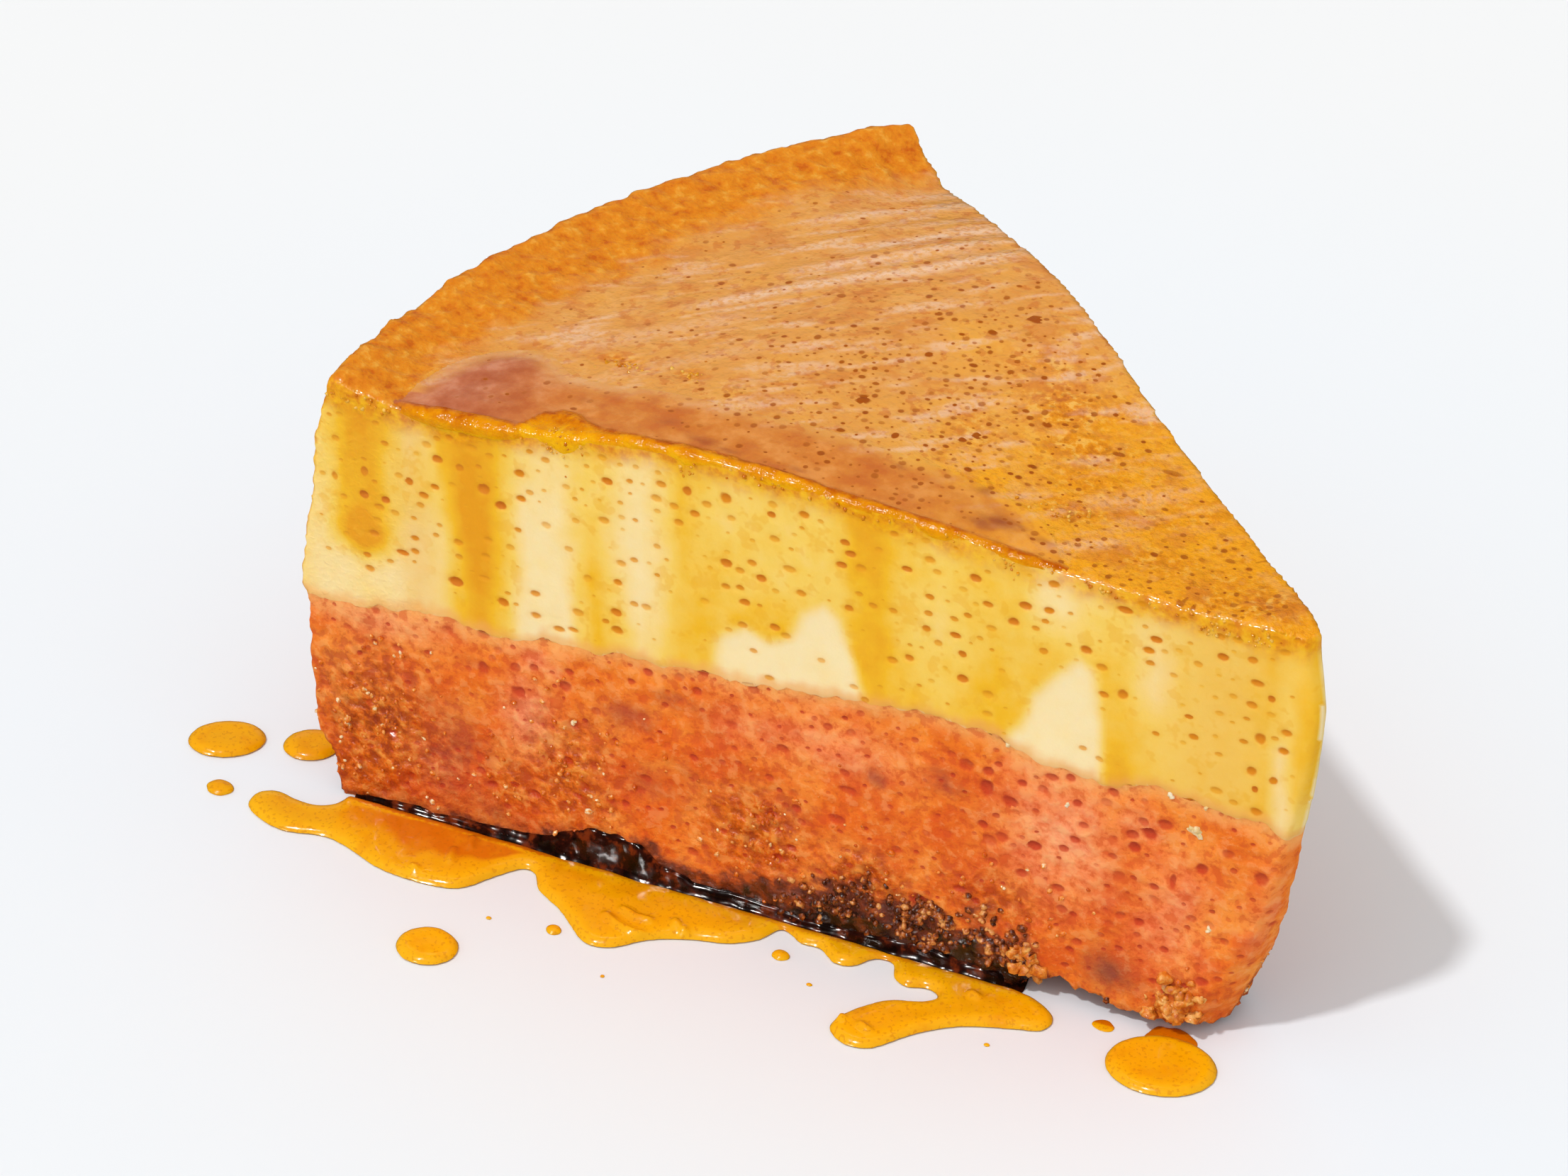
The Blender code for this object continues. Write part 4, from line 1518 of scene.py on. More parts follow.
def place_piece(mesh, name, slot, look, *nodes):
    mesh.transform(Matrix.Scale(MM, 4))
    mesh.materials.clear()
    mesh.materials.append(look)
    for face in mesh.polygons:
        face.use_smooth = True
    made = bpy.data.objects.new(name, mesh)
    bpy.context.scene.collection.objects.link(made)
    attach(made, "root")
    if nodes:
        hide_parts(*nodes)
    print(name, triangles(mesh), "triangles")


def hit_tree(mesh):
    return BVHTree.FromPolygons([tuple(point) for point in vertex_array(mesh)],
                                [tuple(face.vertices) for face in mesh.polygons])


RAY_START = 9.0
surface = hit_tree(custard_mesh)
sponge_surface = hit_tree(sponge_mesh)
sponge_faces = [(face.center[:], face.normal[:], face.vertices[:]) for face in sponge_mesh.polygons]
place_piece(custard_mesh, "custard_body", "custard", custard_look, "custard")
place_piece(sponge_mesh, "sponge_body", "sponge", sponge_look, "sponge")

# %% [markdown]
# ## Caramel sauce
#
# A puddle of sauce has a rounded edge where its surface meets the table, and settles to
# an even depth inside. A copy of each CAD slab is wrapped in even squares, and its height
# is set again from the distance to its own outline, as a quarter circle that levels off.
# The distance is kept too, because thin sauce is paler than deep sauce.

# %% Sauce on the table
RIDGES = (
    ((74.8, 8), (73, 8.9), (71, 9.3), (69, 9), (67, 8.6), (65, 9), (62.5, 9.4)),
    ((73.5, 6.4), (71.8, 6.9), (70.2, 6.8)), ((67.6, 5.8), (67.2, 6.2)), ((66.2, 6.6), (65.8, 7.1)),
    ((94.2, 2.2), (93.8, 3.6)), ((95.2, 4.8), (94.6, 6.8)), ((97.8, 9.2), (97.4, 9.5)),
    ((34, 3.4), (33.2, 3.7)), ((42.5, 13), (41.5, 13.4)), ((45.4, 12.2), (44.8, 12.8)),
)
SAUCE_VOXEL = 0.33
MENISCUS = 1.2
SAUCE_DEPTH = 0.75
RIDGE_HEIGHT = 0.5


def sauce_finish():
    made, tree, shader = new_finish(
        "caramel_sauce", Subsurface_Weight=0.1, Subsurface_Radius=(1.0, 0.45, 0.05),
        Subsurface_Scale=0.0012, Coat_Weight=0.8, Coat_Roughness=0.06, IOR=1.4,
        Roughness=0.22, Specular_IOR_Level=0.35)
    deep = kept(tree, "deep")
    colour = ramp(tree, deep, ((0.0, 250, 180, 10), (0.35, 249, 178, 0), (0.75, 246, 170, 0),
        (1.0, 222, 116, 0)))
    cloud = stretch(tree, mottle(tree, 4.0, 4.0, 1.2), 0.5, 1.0)
    colour = tint(tree, colour, cloud, 0.45, paint(234, 142, 0))
    specks = stretch(tree, mottle(tree, 0.45, 1.0, 1.5), 0.88, 1.0)
    colour = tint(tree, colour, specks, 0.35, paint(196, 104, 4))
    feed(tree, shader, Base_Color=colour, Normal=bump(tree, mottle(tree, 1.6, 2.0, 0.5), 0.06))
    return made


sauce_look = sauce_finish()


def distances(points, targets):
    tree = point_tree(targets * (1.0, 1.0, 0.0))
    return np.array([tree.find((x, y, 0.0))[2] for x, y, _ in points.tolist()])


def densely(line):
    """A line walked there and back, so that it counts as a closed outline."""
    return np.array(list(line) + [(x + 0.01, y) for x, y in reversed(line)])


def settle_sauce(mesh, depth, seed):
    """Round the edge of a slab of sauce and keep how deep it lies."""
    points = vertex_array(mesh)
    facing = vertex_array(mesh, normals=True)
    outline = points[np.abs(facing[:, 2]) < 0.4]
    inside = distances(points, outline)
    inward = np.clip(inside / MENISCUS, 0.0, 1.0)
    level = depth * np.sqrt(1.0 - (1.0 - inward) ** 2)
    level *= 1.0 + 0.2 * rough(points, 5.0, seed) + 0.12 * rough(points, 1.8, seed + 1)
    at = measure(points)
    raised = facing[:, 2] > 0.3
    side_wall = (np.abs(facing[:, 2]) <= 0.4) & ~raised
    points[raised, 2] = level[raised] + 0.12
    points[side_wall, 2] = np.minimum(points[side_wall, 2], 0.14)
    move_vertices(mesh, points)
    reach = 6.5 + 3.0 * hump(at.near_along, 97.0, 9.0) + 2.5 * rough(points, 4.0, 103, 2)
    foot = ease(reach - at.near_out, 0.0, 8.0)
    inside = np.where(at.near_out < 1.6, 2.6, inside)
    foot *= ease(inside, 0.4, 2.0) * ease(113.0 - at.near_along, 0.0, 3.0)
    foot *= 0.2 + 0.6 * hump(at.near_along, 97.0, 9.0)
    write_values(mesh, "deep", np.clip(ease(inside, 0.0, 2.6) * 0.7 + foot, 0.0, 1.0))


def raise_ridges(mesh):
    """Thin wrinkles on the sauce, which catch the light as fine lines."""
    points = vertex_array(mesh)
    facing = vertex_array(mesh, normals=True)
    at = measure(points)
    for line in RIDGES:
        _, gap = outline_distance(np.stack([at.near_along, at.near_out], 1), densely(line))
        points[:, 2] += RIDGE_HEIGHT * hump(gap, 0.0, 0.42) * ease(facing[:, 2], 0.5, 0.9)
    points[:, 2] = np.maximum(points[:, 2], 0.0)
    move_vertices(mesh, points)


def sauce_piece(node_name, depth, seed):
    mesh = even_mesh(solid_copy(node_name), SAUCE_VOXEL, node_name)
    settle_sauce(mesh, depth, seed)
    bm = bmesh.new()
    bm.from_mesh(mesh)
    for _ in range(3):
        bmesh.ops.smooth_vert(bm, verts=bm.verts, factor=0.5, use_axis_x=True,
                              use_axis_y=True, use_axis_z=True)
    bm.to_mesh(mesh)
    bm.free()
    raise_ridges(mesh)
    place_piece(mesh, node_name + "_surface", "sauce", sauce_look, node_name)


sauce_piece("sauce_pool", SAUCE_DEPTH, 101)
for seed, part in enumerate(("tip", "front", "left", "far_left")):
    sauce_piece("sauce_drop_" + part, SAUCE_DEPTH, 110 + 3 * seed)

# %% [markdown]
# ## Splashes
#
# The smallest drops are too small for the CAD part. Each is a flattened ball whose lower
# half is cut away, so it sits on the table with a rounded edge.

# %% Splashes beside the puddle
SPLASHES = ((12.5, 1.1, 2.8, 2.3, .45), (125, 5, 1.6, 1.3, .7),
            (79.3, 11.7, .85, .75, .45), (55.3, 5.3, 1, .85, .5),
            (19.8, 1.5, 1.2, .9, .16), (29.7, 9.5, .3, .25, .15), (86.6, 12.8, .3, .25, .15),
            (71, 16.4, .25, .25, .12), (50.5, 8.4, .35, .25, .15))


def splash_depth(points):
    """Sauce that ran in under the torn base is the darkest, partly as sauce and partly as painted
    shade of the base above it.
    """
    crept_and_shaded = ease(2.2 - measure(points).near_out, 0.0, 1.0)
    return np.clip(points[:, 2] * 1.1 + 0.9 * crept_and_shaded, 0.0, 1.0)


splash_bm = bmesh.new()
for along, out, long, wide, tall in SPLASHES:
    ball = bmesh.new()
    bmesh.ops.create_icosphere(ball, subdivisions=4, radius=1.0)
    bmesh.ops.scale(ball, vec=(long, wide, tall), verts=ball.verts)
    turn = Matrix.Rotation(HALF_ANGLE, 4, "Z")
    centre = TIP + along * NEAR_ALONG + out * NEAR_OUT
    for vert in ball.verts:
        swell = 1.0 + 0.16 * noise.noise(vert.co * 0.8 + Vector((along, out, 0.0)))
        vert.co.x *= swell
        vert.co.y *= swell
    ball.transform(Matrix.Translation(Vector(centre)) @ turn)
    cut_level(ball, 0.0, True)
    part = ready_mesh(ball, "splash")
    splash_bm.from_mesh(part)
    bpy.data.meshes.remove(part)
splash_mesh = ready_mesh(splash_bm, "splashes")
write_values(splash_mesh, "deep", splash_depth(vertex_array(splash_mesh)))
place_piece(splash_mesh, "splashes", "sauce", sauce_look)

# %% [markdown]
# ## Caramel film on the top
#
# Liquid caramel lies in a thin film along the near edge of the top and hangs over that
# edge in a ragged lip. Its outline is drawn on a flat strip: distance along the edge, and
# distance inward from it, with places below the edge counted as negative. A grid is cut
# to that outline, then each vertex is carried onto the slice: straight down onto the top,
# turning round a line just inside the edge, and level onto the cut face.

# %% The film's outline and thickness
FILM_OUTLINE = (
    (102.8, .3), (102.9, 2.4), (102.6, 5.4), (101.8, 8.8), (100, 12.4), (97.2, 14.8),
    (94, 15.8), (91, 15.2), (88.8, 13.4), (86.4, 12), (82, 11.6), (77, 11.8),
    (72, 11.4), (67, 10.8), (62, 11), (56.5, 11.2), (51, 10.6), (45.5, 10.6),
    (40.5, 10.2), (36, 9.2), (32.5, 7.8), (29.8, 5.4), (27.8, 2.6), (26.4, .4),
    (27.6, -.5), (31.6, -.9), (35.2, -.6), (38.2, -.5), (39.6, -1.2), (41.4, -1.3),
    (43, -.7), (46, -.5), (48.6, -.9), (51, -1.1), (53.2, -.6), (57, -.9),
    (59.6, -1.3), (61.6, -.7), (65, -.8), (67.4, -1.4), (68.6, -1.7), (70, -1),
    (73.6, -.8), (77, -.8), (79.6, -1.1), (81.2, -2), (82.6, -2.5), (84, -1.7),
    (86.2, -.9), (88.8, -1.1), (91, -1.3), (94.6, -1.1), (98, -1.1), (101, -.6),
)
LIP_LINE = ((28, .6), (45, .9), (58, 1.2), (66, 1.7), (72, 1.3), (78, 1.8), (80.5, 2.6),
            (82.5, 3.9), (84.5, 4.4), (86.5, 3.6), (88.2, .6), (91, .9), (95, 1), (99, .8),
            (102, .5), (105, .3))
FILM_CELL = 0.36
TURN_RADIUS = 1.2
FILM_SINK = 0.35


def cut_sheet(outline, cell):
    """A flat grid cut to an outline, with its border drawn onto the line."""
    low, high = outline.min(0) - cell, outline.max(0) + cell
    count = np.ceil((high - low) / cell).astype(int)
    bm = bmesh.new()
    bmesh.ops.create_grid(bm, x_segments=int(count[0]), y_segments=int(count[1]), size=1.0)
    middle, half = (low + high) / 2.0, (high - low) / 2.0
    bmesh.ops.scale(bm, vec=(half[0], half[1], 1.0), verts=bm.verts)
    bmesh.ops.translate(bm, vec=(middle[0], middle[1], 0.0), verts=bm.verts)
    places = np.array([vert.co[:2] for vert in bm.verts])
    kept_inside = inside_outline(places, outline)
    bmesh.ops.delete(bm, context="VERTS",
                     geom=[v for v, inside in zip(bm.verts[:], kept_inside) if not inside])
    border = [vert for vert in bm.verts if vert.is_boundary]
    nearest, _ = outline_distance(np.array([vert.co[:2] for vert in border]), outline)
    for vert, place in zip(border, nearest):
        vert.co.xy = place
    return bm


def onto_slice(along, inward):
    """The point of the slice's near edge region that a place on the strip stands for."""
    pivot_level = float(top_height(np.array([along]))[0]) - TURN_RADIUS
    pivot = TIP + along * NEAR_ALONG - TURN_RADIUS * NEAR_OUT + pivot_level * UP
    if inward > 1.0:
        start, direction = pivot - (inward - 1.0) * NEAR_OUT + RAY_START * UP, -UP
    elif inward < -1.0:
        start, direction = pivot + (inward + 1.0) * UP + RAY_START * NEAR_OUT, -NEAR_OUT
    else:
        turn = (inward + 1.0) * math.pi / 4.0
        direction = math.cos(turn) * NEAR_OUT + math.sin(turn) * UP
        start, direction = pivot + RAY_START * direction, -direction
    hit = surface.ray_cast(start.tolist(), direction.tolist())[0]
    point = pivot if hit is None else np.array(hit)
    return point, -direction


def film_mesh(outline, thickness, name):
    bm = cut_sheet(outline, FILM_CELL)
    places = np.array([vert.co[:2] for vert in bm.verts])
    _, gap = outline_distance(places, outline)
    laid = [onto_slice(along, inward) for along, inward in places]
    base = np.array([item[0] for item in laid])
    out = np.array([item[1] for item in laid])
    hanging = places[:, 1] < 1.0
    rise = np.where(hanging, ease(gap, -0.3, 1.1), ease(gap, 0.0, 4.5))
    thick = thickness(places, base) * rise - 0.1 * (1.0 - ease(gap, 0.0, 0.9))
    tops = base + out * thick[:, None]
    for vert, point in zip(bm.verts, tops):
        vert.co = point
    bm.verts.index_update()
    for edge in bm.edges:
        edge.smooth = not edge.is_boundary
    copied = bmesh.ops.extrude_face_region(bm, geom=bm.faces[:])["geom"]
    lower = [item for item in copied if isinstance(item, bmesh.types.BMVert)]
    for vert, point in zip(lower, lower_points(lower, tops, base, out)):
        vert.co = point
    bmesh.ops.recalc_face_normals(bm, faces=bm.faces)
    bm.verts.index_update()
    bm.faces.sort(key=face_order)
    return ready_mesh(bm, name), places, thick, tops


def face_order(face):
    """A number that no two faces share. The extrusion leaves its faces in no fixed order."""
    corners = [vert.index for vert in face.verts]
    return min(corners) * 1e11 + max(corners) * 1e6 + sum(corners)


def lower_points(lower, tops, base, out):
    tree = point_tree(tops)
    found = [tree.find(vert.co)[1] for vert in lower]
    return base[found] - FILM_SINK * out[found]


def lip_share(along, inward, softness=0.3):
    """1 in the clear hanging lip, 0 in the brown film above it."""
    return 1.0 - ease(inward - read_table(LIP_LINE, along), -softness, softness)


def film_thickness(places, base):
    along, inward = places[:, 0], places[:, 1]
    pool = 0.42 * hump(along, 95.0, 9.0) + 0.1
    line = read_table(LIP_LINE, along)
    hang = 0.4 * hump(inward, line - 0.9, 1.0) * (0.4 + 0.6 * ease(along, 36.0, 60.0))
    hang *= 1.0 + 0.9 * rough(base, 3.2, 121, 2)
    notch = hump(along, 84.3, 2.2) * hump(inward, 2.2, 1.6)
    uneven = 1.0 + 0.35 * rough(base, 5.0, 122)
    thick = (pool * (1.0 - 0.8 * notch) + hang) * uneven + 0.25 * notch * rough(base, 1.1, 124)
    return np.maximum(0.04, thick + 0.06 * rough(base, 1.4, 123))


film, film_places, film_thick, film_tops = film_mesh(
    smooth_outline(FILM_OUTLINE), film_thickness, "caramel_film")
print("film", len(film_places), "places, thickest", film_thick.max().round(2), "mm")

# %% [markdown]
# The film is brown where it pools, with a pink cast that is painted reflection, tan where
# it thins out over the skin, and clear amber in the hanging lip. Each vertex keeps how
# thick the film is there and whether it belongs to the lip, and the material mixes those
# three colours. A pale line inside the pool's edge and the streaks over the skin are
# painted highlights.

# %% The film's finish


def film_finish():
    made, tree, shader = new_finish(
        "caramel_film", Subsurface_Weight=0.1, Subsurface_Radius=(1.0, 0.4, 0.08),
        Subsurface_Scale=0.001, Coat_Roughness=0.06, IOR=1.4, Specular_IOR_Level=0.3)
    thick, hanging = kept(tree, "thick"), kept(tree, "hanging")
    pooled, purple = kept(tree, "pooled"), kept(tree, "purple")
    cloud = mottle(tree, 3.5, 4.0, 1.1)
    strip = ramp(tree, cloud, ((0.1, 204, 108, 38), (0.55, 216, 128, 46), (0.9, 228, 146, 68)))
    # The pooled brown is caramel's own colour with a pink cast that is a painted reflection of the
    # bright surround.
    brown_with_painted_sky = ramp(tree, cloud, ((0.1, 180, 92, 54), (0.55, 196, 112, 74), (0.9, 212, 136, 100)))
    bare_skin = use(tree, SKIN, {"Ripe": kept(tree, "ripe"), "Haze": kept(tree, "haze")})
    colour = mixed(tree, thick, bare_skin["Color"], mixed(tree, pooled, strip, brown_with_painted_sky))
    colour = tint(tree, colour, purple, 0.75, paint(140, 54, 36))
    uneven = swing(tree, mottle(tree, 1.8, 3.0, 1.2), 0.5)
    amber = ramp(tree, plus(tree, kept(tree, "down"), uneven), (
        (0.0, 188, 86, 0), (0.25, 220, 128, 0), (0.6, 236, 154, 0), (0.95, 245, 178, 6)))
    colour = mixed(tree, hanging, pitted(tree, colour, 1.0), amber)
    # Painted highlight: a pale line just inside the pool's edge, where its meniscus would catch the
    # light.
    colour = tint(tree, colour, kept(tree, "rimline"), 0.3, paint(230, 172, 128))
    coat = minus(tree, 0.25, times(tree, hanging, 0.13))
    gloss = stretch(tree, hanging, 0.0, 1.0, 0.38, 0.16)
    height = times(tree, mottle(tree, 1.5, 3.0, 0.9), stretch(tree, hanging, 0.0, 1.0, 0.3, 1.0))
    feed(tree, shader, Base_Color=colour, Coat_Weight=coat, Roughness=gloss,
         Normal=bump(tree, height, 0.2))
    return made


PURPLE = ((35.6, 4.2, 1.9, 1.1, 1.), (33.6, 4.6, 1, .5, .7), (37.2, 3, 1.6, .8, .8),
          (30.6, 3.6, 1.4, .5, .6), (39.2, 8.4, 1, .8, .7), (68, 3.1, 1.9, .5, .6),
          (64.8, 2.4, 1.2, .4, .7), (57, 2.3, 1.2, .35, .6), (73, 5, 1.2, .6, .35),
          (48.2, 7.8, .7, .5, .6), (83.5, 7, 1.4, .5, .35), (95, 9, 1.2, .7, .25))


tree = point_tree(film_tops)
nearest_place = [tree.find(point)[1] for point in vertex_array(film).tolist()]
film_along, film_inward = film_places[nearest_place].T
film_points = film_tops[nearest_place]
_, film_gap = outline_distance(film_places[nearest_place], smooth_outline(FILM_OUTLINE))
film_gap += 0.7 * rough(film_points, 3.0, 131, 2)
film_edge = np.where(film_inward < 3.0, 1.0, ease(film_gap, 0.4, 4.0))
# The pale line inside the pool's edge is a painted highlight.
rimline = hump(film_gap, 1.4, 0.7) * ease(film_inward, 4.0, 9.0) * ease(film_along, 60.0, 92.0)
lip_line = read_table(LIP_LINE, film_along)
# The film carries the same painted highlights as the bare skin.
film_haze = haze(0.61 * film_along + 0.79 * film_inward, SimpleNamespace(
    near_along=film_along, near_out=-film_inward))
write_all(film, thick=film_edge * (0.4 + 0.6 * ease(film_along, 28.0, 50.0)), rimline=rimline,
    pooled=hump(film_along, 97.5, 9.5), haze=film_haze,
    hanging=lip_share(film_along, film_inward + 0.25 * rough(film_points, 1.6, 132, 2)),
    down=np.clip((lip_line - film_inward) / (lip_line + 1.4), 0.0, 1.0),
    purple=patches(film_along, film_inward + 0.5 * rough(film_points, 1.5, 133), PURPLE),
    ripe=1.0 - ease(np.hypot(film_along, film_inward), *RIPE_REACH))
label_corners(film, flecks)
place_piece(film, "caramel_film", "sauce", film_finish())

# %% [markdown]
# ## Dark caramel at the foot
#
# Where the cut face stands in sauce, burnt caramel has gathered in a glossy black line.
# Its section is a small hollow fillet: tall against the sponge and thin towards the
# table. Loops of that section are made all along the foot, each with its own height, and
# bridged.

# %% A fillet along the foot
FOOT_LINE = ((29.6, .5, .5), (31, 1.2, 1), (34, 1.8, 1.2), (38, 2.2, 1.3), (42, 2.4, 1.3),
             (45, 2, 1.2), (50, 1.4, 1), (55, 1.4, 1), (60, 1.7, 1.2), (64, 2, 1.3),
             (68, 1.9, 1.5), (72, 3, 1.4), (75, 5, 1.3), (80, 5.4, 1.3), (84, 4.3, 1.4),
             (87, 2.4, 1.5), (90, 1.7, 1.4), (94, 1.4, 1.3), (99, 1.3, 1.2), (104, 1.2, 1.1),
             (108, 1, .9), (110.4, .4, .4))
SECTION = ((-.9, 0.), (-.9, .8), (-.3, 1.), (.1, .97), (.26, .78), (.38, .5), (.56, .28),
           (.85, .12), (1., .0))


STATION_GAP = 0.4
AVERAGED = 13


def near_hit(along, level):
    """Where a level line into the near face meets the sponge, if it does."""
    start = TIP + along * NEAR_ALONG + level * UP + RAY_START * NEAR_OUT
    return sponge_surface.ray_cast(start.tolist(), (-NEAR_OUT).tolist())[0]


def reach_line(stations, levels):
    """How far out the sponge stands at each station, as a running average."""
    hits = [near_hit(along, level) for along, level in zip(stations, levels)]
    reach = [-0.4 if hit is None else float((np.array(hit) - TIP) @ NEAR_OUT) for hit in hits]
    return np.convolve(np.pad(reach, AVERAGED // 2, "edge"), np.ones(AVERAGED) / AVERAGED, "valid")


def foot_mesh():
    bm = bmesh.new()
    stations = np.arange(FOOT_LINE[0][0], FOOT_LINE[-1][0], STATION_GAP)
    heights = read_table(FOOT_LINE, stations)
    widths = read_table(FOOT_LINE, stations, 2)
    low_line = reach_line(stations, np.full(len(stations), 1.2))
    high_line = reach_line(stations, 0.9 * heights)
    loops = []
    for along, tall, wide, low_at, high_at in zip(stations, heights, widths, low_line, high_line):
        spot = Vector((along * 0.25, 0.0, 0.0))
        tall *= 1.0 + 0.3 * noise.noise(spot * 0.5) + 0.1 * noise.noise(spot * 1.7)
        wide *= 1.0 + 0.3 * noise.noise(spot * 0.8 + Vector((0.0, 9.0, 0.0)))
        corners = [TIP + along * NEAR_ALONG + level * tall * UP
                   + (low_at + (high_at - low_at) * level + out * wide) * NEAR_OUT
                   for out, level in SECTION]
        verts = [bm.verts.new(corner) for corner in corners]
        loops.append([bm.edges.new(pair) for pair in zip(verts, verts[1:] + verts[:1])])
    for first, second in zip(loops, loops[1:]):
        bmesh.ops.bridge_loops(bm, edges=first + second)
    bmesh.ops.holes_fill(bm, edges=[e for e in bm.edges if e.is_boundary], sides=0)
    bmesh.ops.subdivide_edges(bm, edges=bm.edges[:], cuts=1, use_grid_fill=True, smooth=0.0)
    bmesh.ops.recalc_face_normals(bm, faces=bm.faces)
    mesh = ready_mesh(bm, "foot_caramel")
    points = vertex_array(mesh)
    shift = 0.14 * rough(points, 3.2, 141, 2)
    points += vertex_array(mesh, normals=True) * shift[:, None]
    points[:, 2] = np.maximum(points[:, 2], 0.0)
    move_vertices(mesh, points)
    return mesh


def burnt_finish():
    made, tree, shader = new_finish(
        "burnt_caramel", Coat_Weight=0.1, Coat_Roughness=0.05, IOR=1.4, Roughness=0.16,
        Specular_IOR_Level=0.16)
    cloud = mottle(tree, 1.8, 4.0, 1.2)
    colour = ramp(tree, cloud, ((0.2, 18, 4, 1), (0.6, 48, 13, 5), (0.95, 116, 44, 12)))
    feed(tree, shader, Base_Color=colour, Normal=bump(tree, mottle(tree, 2.2, 1.0, 1.0), 0.08))
    return made


place_piece(foot_mesh(), "foot_caramel", "sauce", burnt_finish())

# %% [markdown]
# ## Crumbs
#
# Loose crumb clings to the wet parts of the sponge and glistens. A few small lumps are
# made from icospheres pushed about by noise, and copies of them are turned, scaled and
# set on the sponge wherever it is wet or burnt enough. Each kind of crumb is one piece.

# %% Crumb shapes and how they are scattered


def lump_shapes(count, seed, push, subdivisions=1):
    shapes = []
    for index in range(count):
        bm = bmesh.new()
        bmesh.ops.create_icosphere(bm, subdivisions=subdivisions, radius=0.5)
        for vert in bm.verts:
            vert.co *= 1.0 + push * noise.noise(vert.co * 2.2 + Vector((seed, index * 3.1, 0.0)))
        shapes.append(ready_mesh(bm, "lump"))
    return shapes


def scatter(name, shapes, spots, look, slot, seed):
    """Set copies of the shapes at (point, outward, size) spots."""
    draw = random.Random(seed)
    bm = bmesh.new()
    for point, outward, size in spots:
        copy = draw.choice(shapes).copy()
        spin = Matrix.Rotation(draw.uniform(0.0, 6.28), 4, Vector(
            (draw.uniform(-1, 1), draw.uniform(-1, 1), draw.uniform(-1, 1))).normalized())
        squash = Matrix.Diagonal((size * draw.uniform(.8, 1.25), size * draw.uniform(.7, 1.1),
                                  size * draw.uniform(.6, 1.0), 1.0))
        centre = Vector(point) + Vector(outward) * size * draw.uniform(-0.25, 0.1)
        centre.z = max(centre.z, size * 0.45)
        copy.transform(Matrix.Translation(centre) @ spin @ squash)
        bm.from_mesh(copy)
        bpy.data.meshes.remove(copy)
    place_piece(ready_mesh(bm, name), name, slot, look)


def crumb_spots(seed, count, share, sizes):
    draw = random.Random(seed)
    spots = []
    while len(spots) < count:
        middle, outward, corners = draw.choice(sponge_faces)
        if outward[2] < -0.4 or draw.random() > share[list(corners)].mean():
            continue
        spots.append((middle, outward, draw.uniform(*sizes)))
    return spots


def crumb_finish(name, stops, coat, roughness):
    made, tree, shader = new_finish(
        name, Coat_Weight=coat, Coat_Roughness=0.06, IOR=1.4, Roughness=roughness,
        Specular_IOR_Level=0.5, Subsurface_Weight=0.1, Subsurface_Radius=(1.0, 0.4, 0.1),
        Subsurface_Scale=0.0008)
    colour = ramp(tree, mottle(tree, 1.3, 3.0, 1.5), stops)
    feed(tree, shader, Base_Color=colour, Normal=bump(tree, mottle(tree, 0.25, 2.0), 0.05))
    return made


print("crumb shapes ready")

# %% [markdown]
# Where the sponge is wet its grains stand out and shine, and the palest of their colours
# is a painted glint; in the burnt foot they are brown. Golden crumbs are torn out in small
# heaps near the tip and where the black line ends.

# %% Wet grains, burnt crumbs and golden crumbs
wet_share = sponge_kept["wet"]
burnt_share = sponge_kept["burnt"]
clear_of_top = ease(under_line, 0.5, 2.0)
# The near-white end of the wet grains' colour is a painted glint.
grain_and_glint_look = crumb_finish("wet_grain_and_painted_glint", ((0.1, 206, 86, 6), (0.5, 236, 120, 20), (0.8, 250, 168, 80),
                                        (1.0, 255, 226, 180)), 1.0, 0.25)
crust_look = crumb_finish("burnt_crumb", ((0.1, 70, 24, 8), (0.45, 128, 56, 18), (0.7, 186, 96, 36),
                                          (0.95, 232, 158, 84)), 0.6, 0.2)
golden_look = crumb_finish("golden_crumb", ((0.1, 204, 100, 16), (0.5, 234, 138, 38),
                                            (0.9, 250, 182, 96)), 0.2, 0.35)
small_lumps = lump_shapes(6, 3.0, 0.5)
scatter("wet_grains", small_lumps, crumb_spots(
    151, 700, wet_share * clear_of_top * (1.0 - burnt_share), (0.4, 0.9)),
    grain_and_glint_look, "sponge", 152)
crumbly = 4.0 * burnt_share * (1.0 - burnt_share) * ease(
    62.0 - sponge_side.at.near_along, 0.0, 9.0) * ease(sponge_side.at.near_along, 12.0, 20.0)
scatter("burnt_crumbs", small_lumps, crumb_spots(153, 700, crumbly, (0.5, 1.3)),
        crust_look, "sponge", 154)


def heap(seed, centre, spread_out, count, sizes):
    draw = random.Random(seed)
    spots = []
    for _ in range(count):
        along = draw.gauss(centre[0], spread_out[0])
        height = max(0.6, draw.gauss(centre[1], spread_out[1]))
        hit = near_hit(along, height)
        if hit is not None:
            spots.append((hit[:], tuple(NEAR_OUT), draw.uniform(*sizes)))
    return spots


HEAPS = (((29.8, 5.4), (.7, .9), 14), ((28.4, 3.4), (.4, .7), 8),
         ((13.4, 3.6), (1.2, .8), 34), ((12.2, 5.8), (1.1, .9), 14))
golden_spots = []
for index, (centre, spread_out, count) in enumerate(HEAPS):
    golden_spots += heap(160 + index, centre, spread_out, count, (0.5, 2.0))
scatter("golden_crumbs", lump_shapes(6, 7.0, 0.9, 2), golden_spots, golden_look, "sponge", 161)

# %% [markdown]
# A few chips of pale custard were dragged down over the sponge by the knife, and amber
# beads stand along the top edge and in torn places of the top.

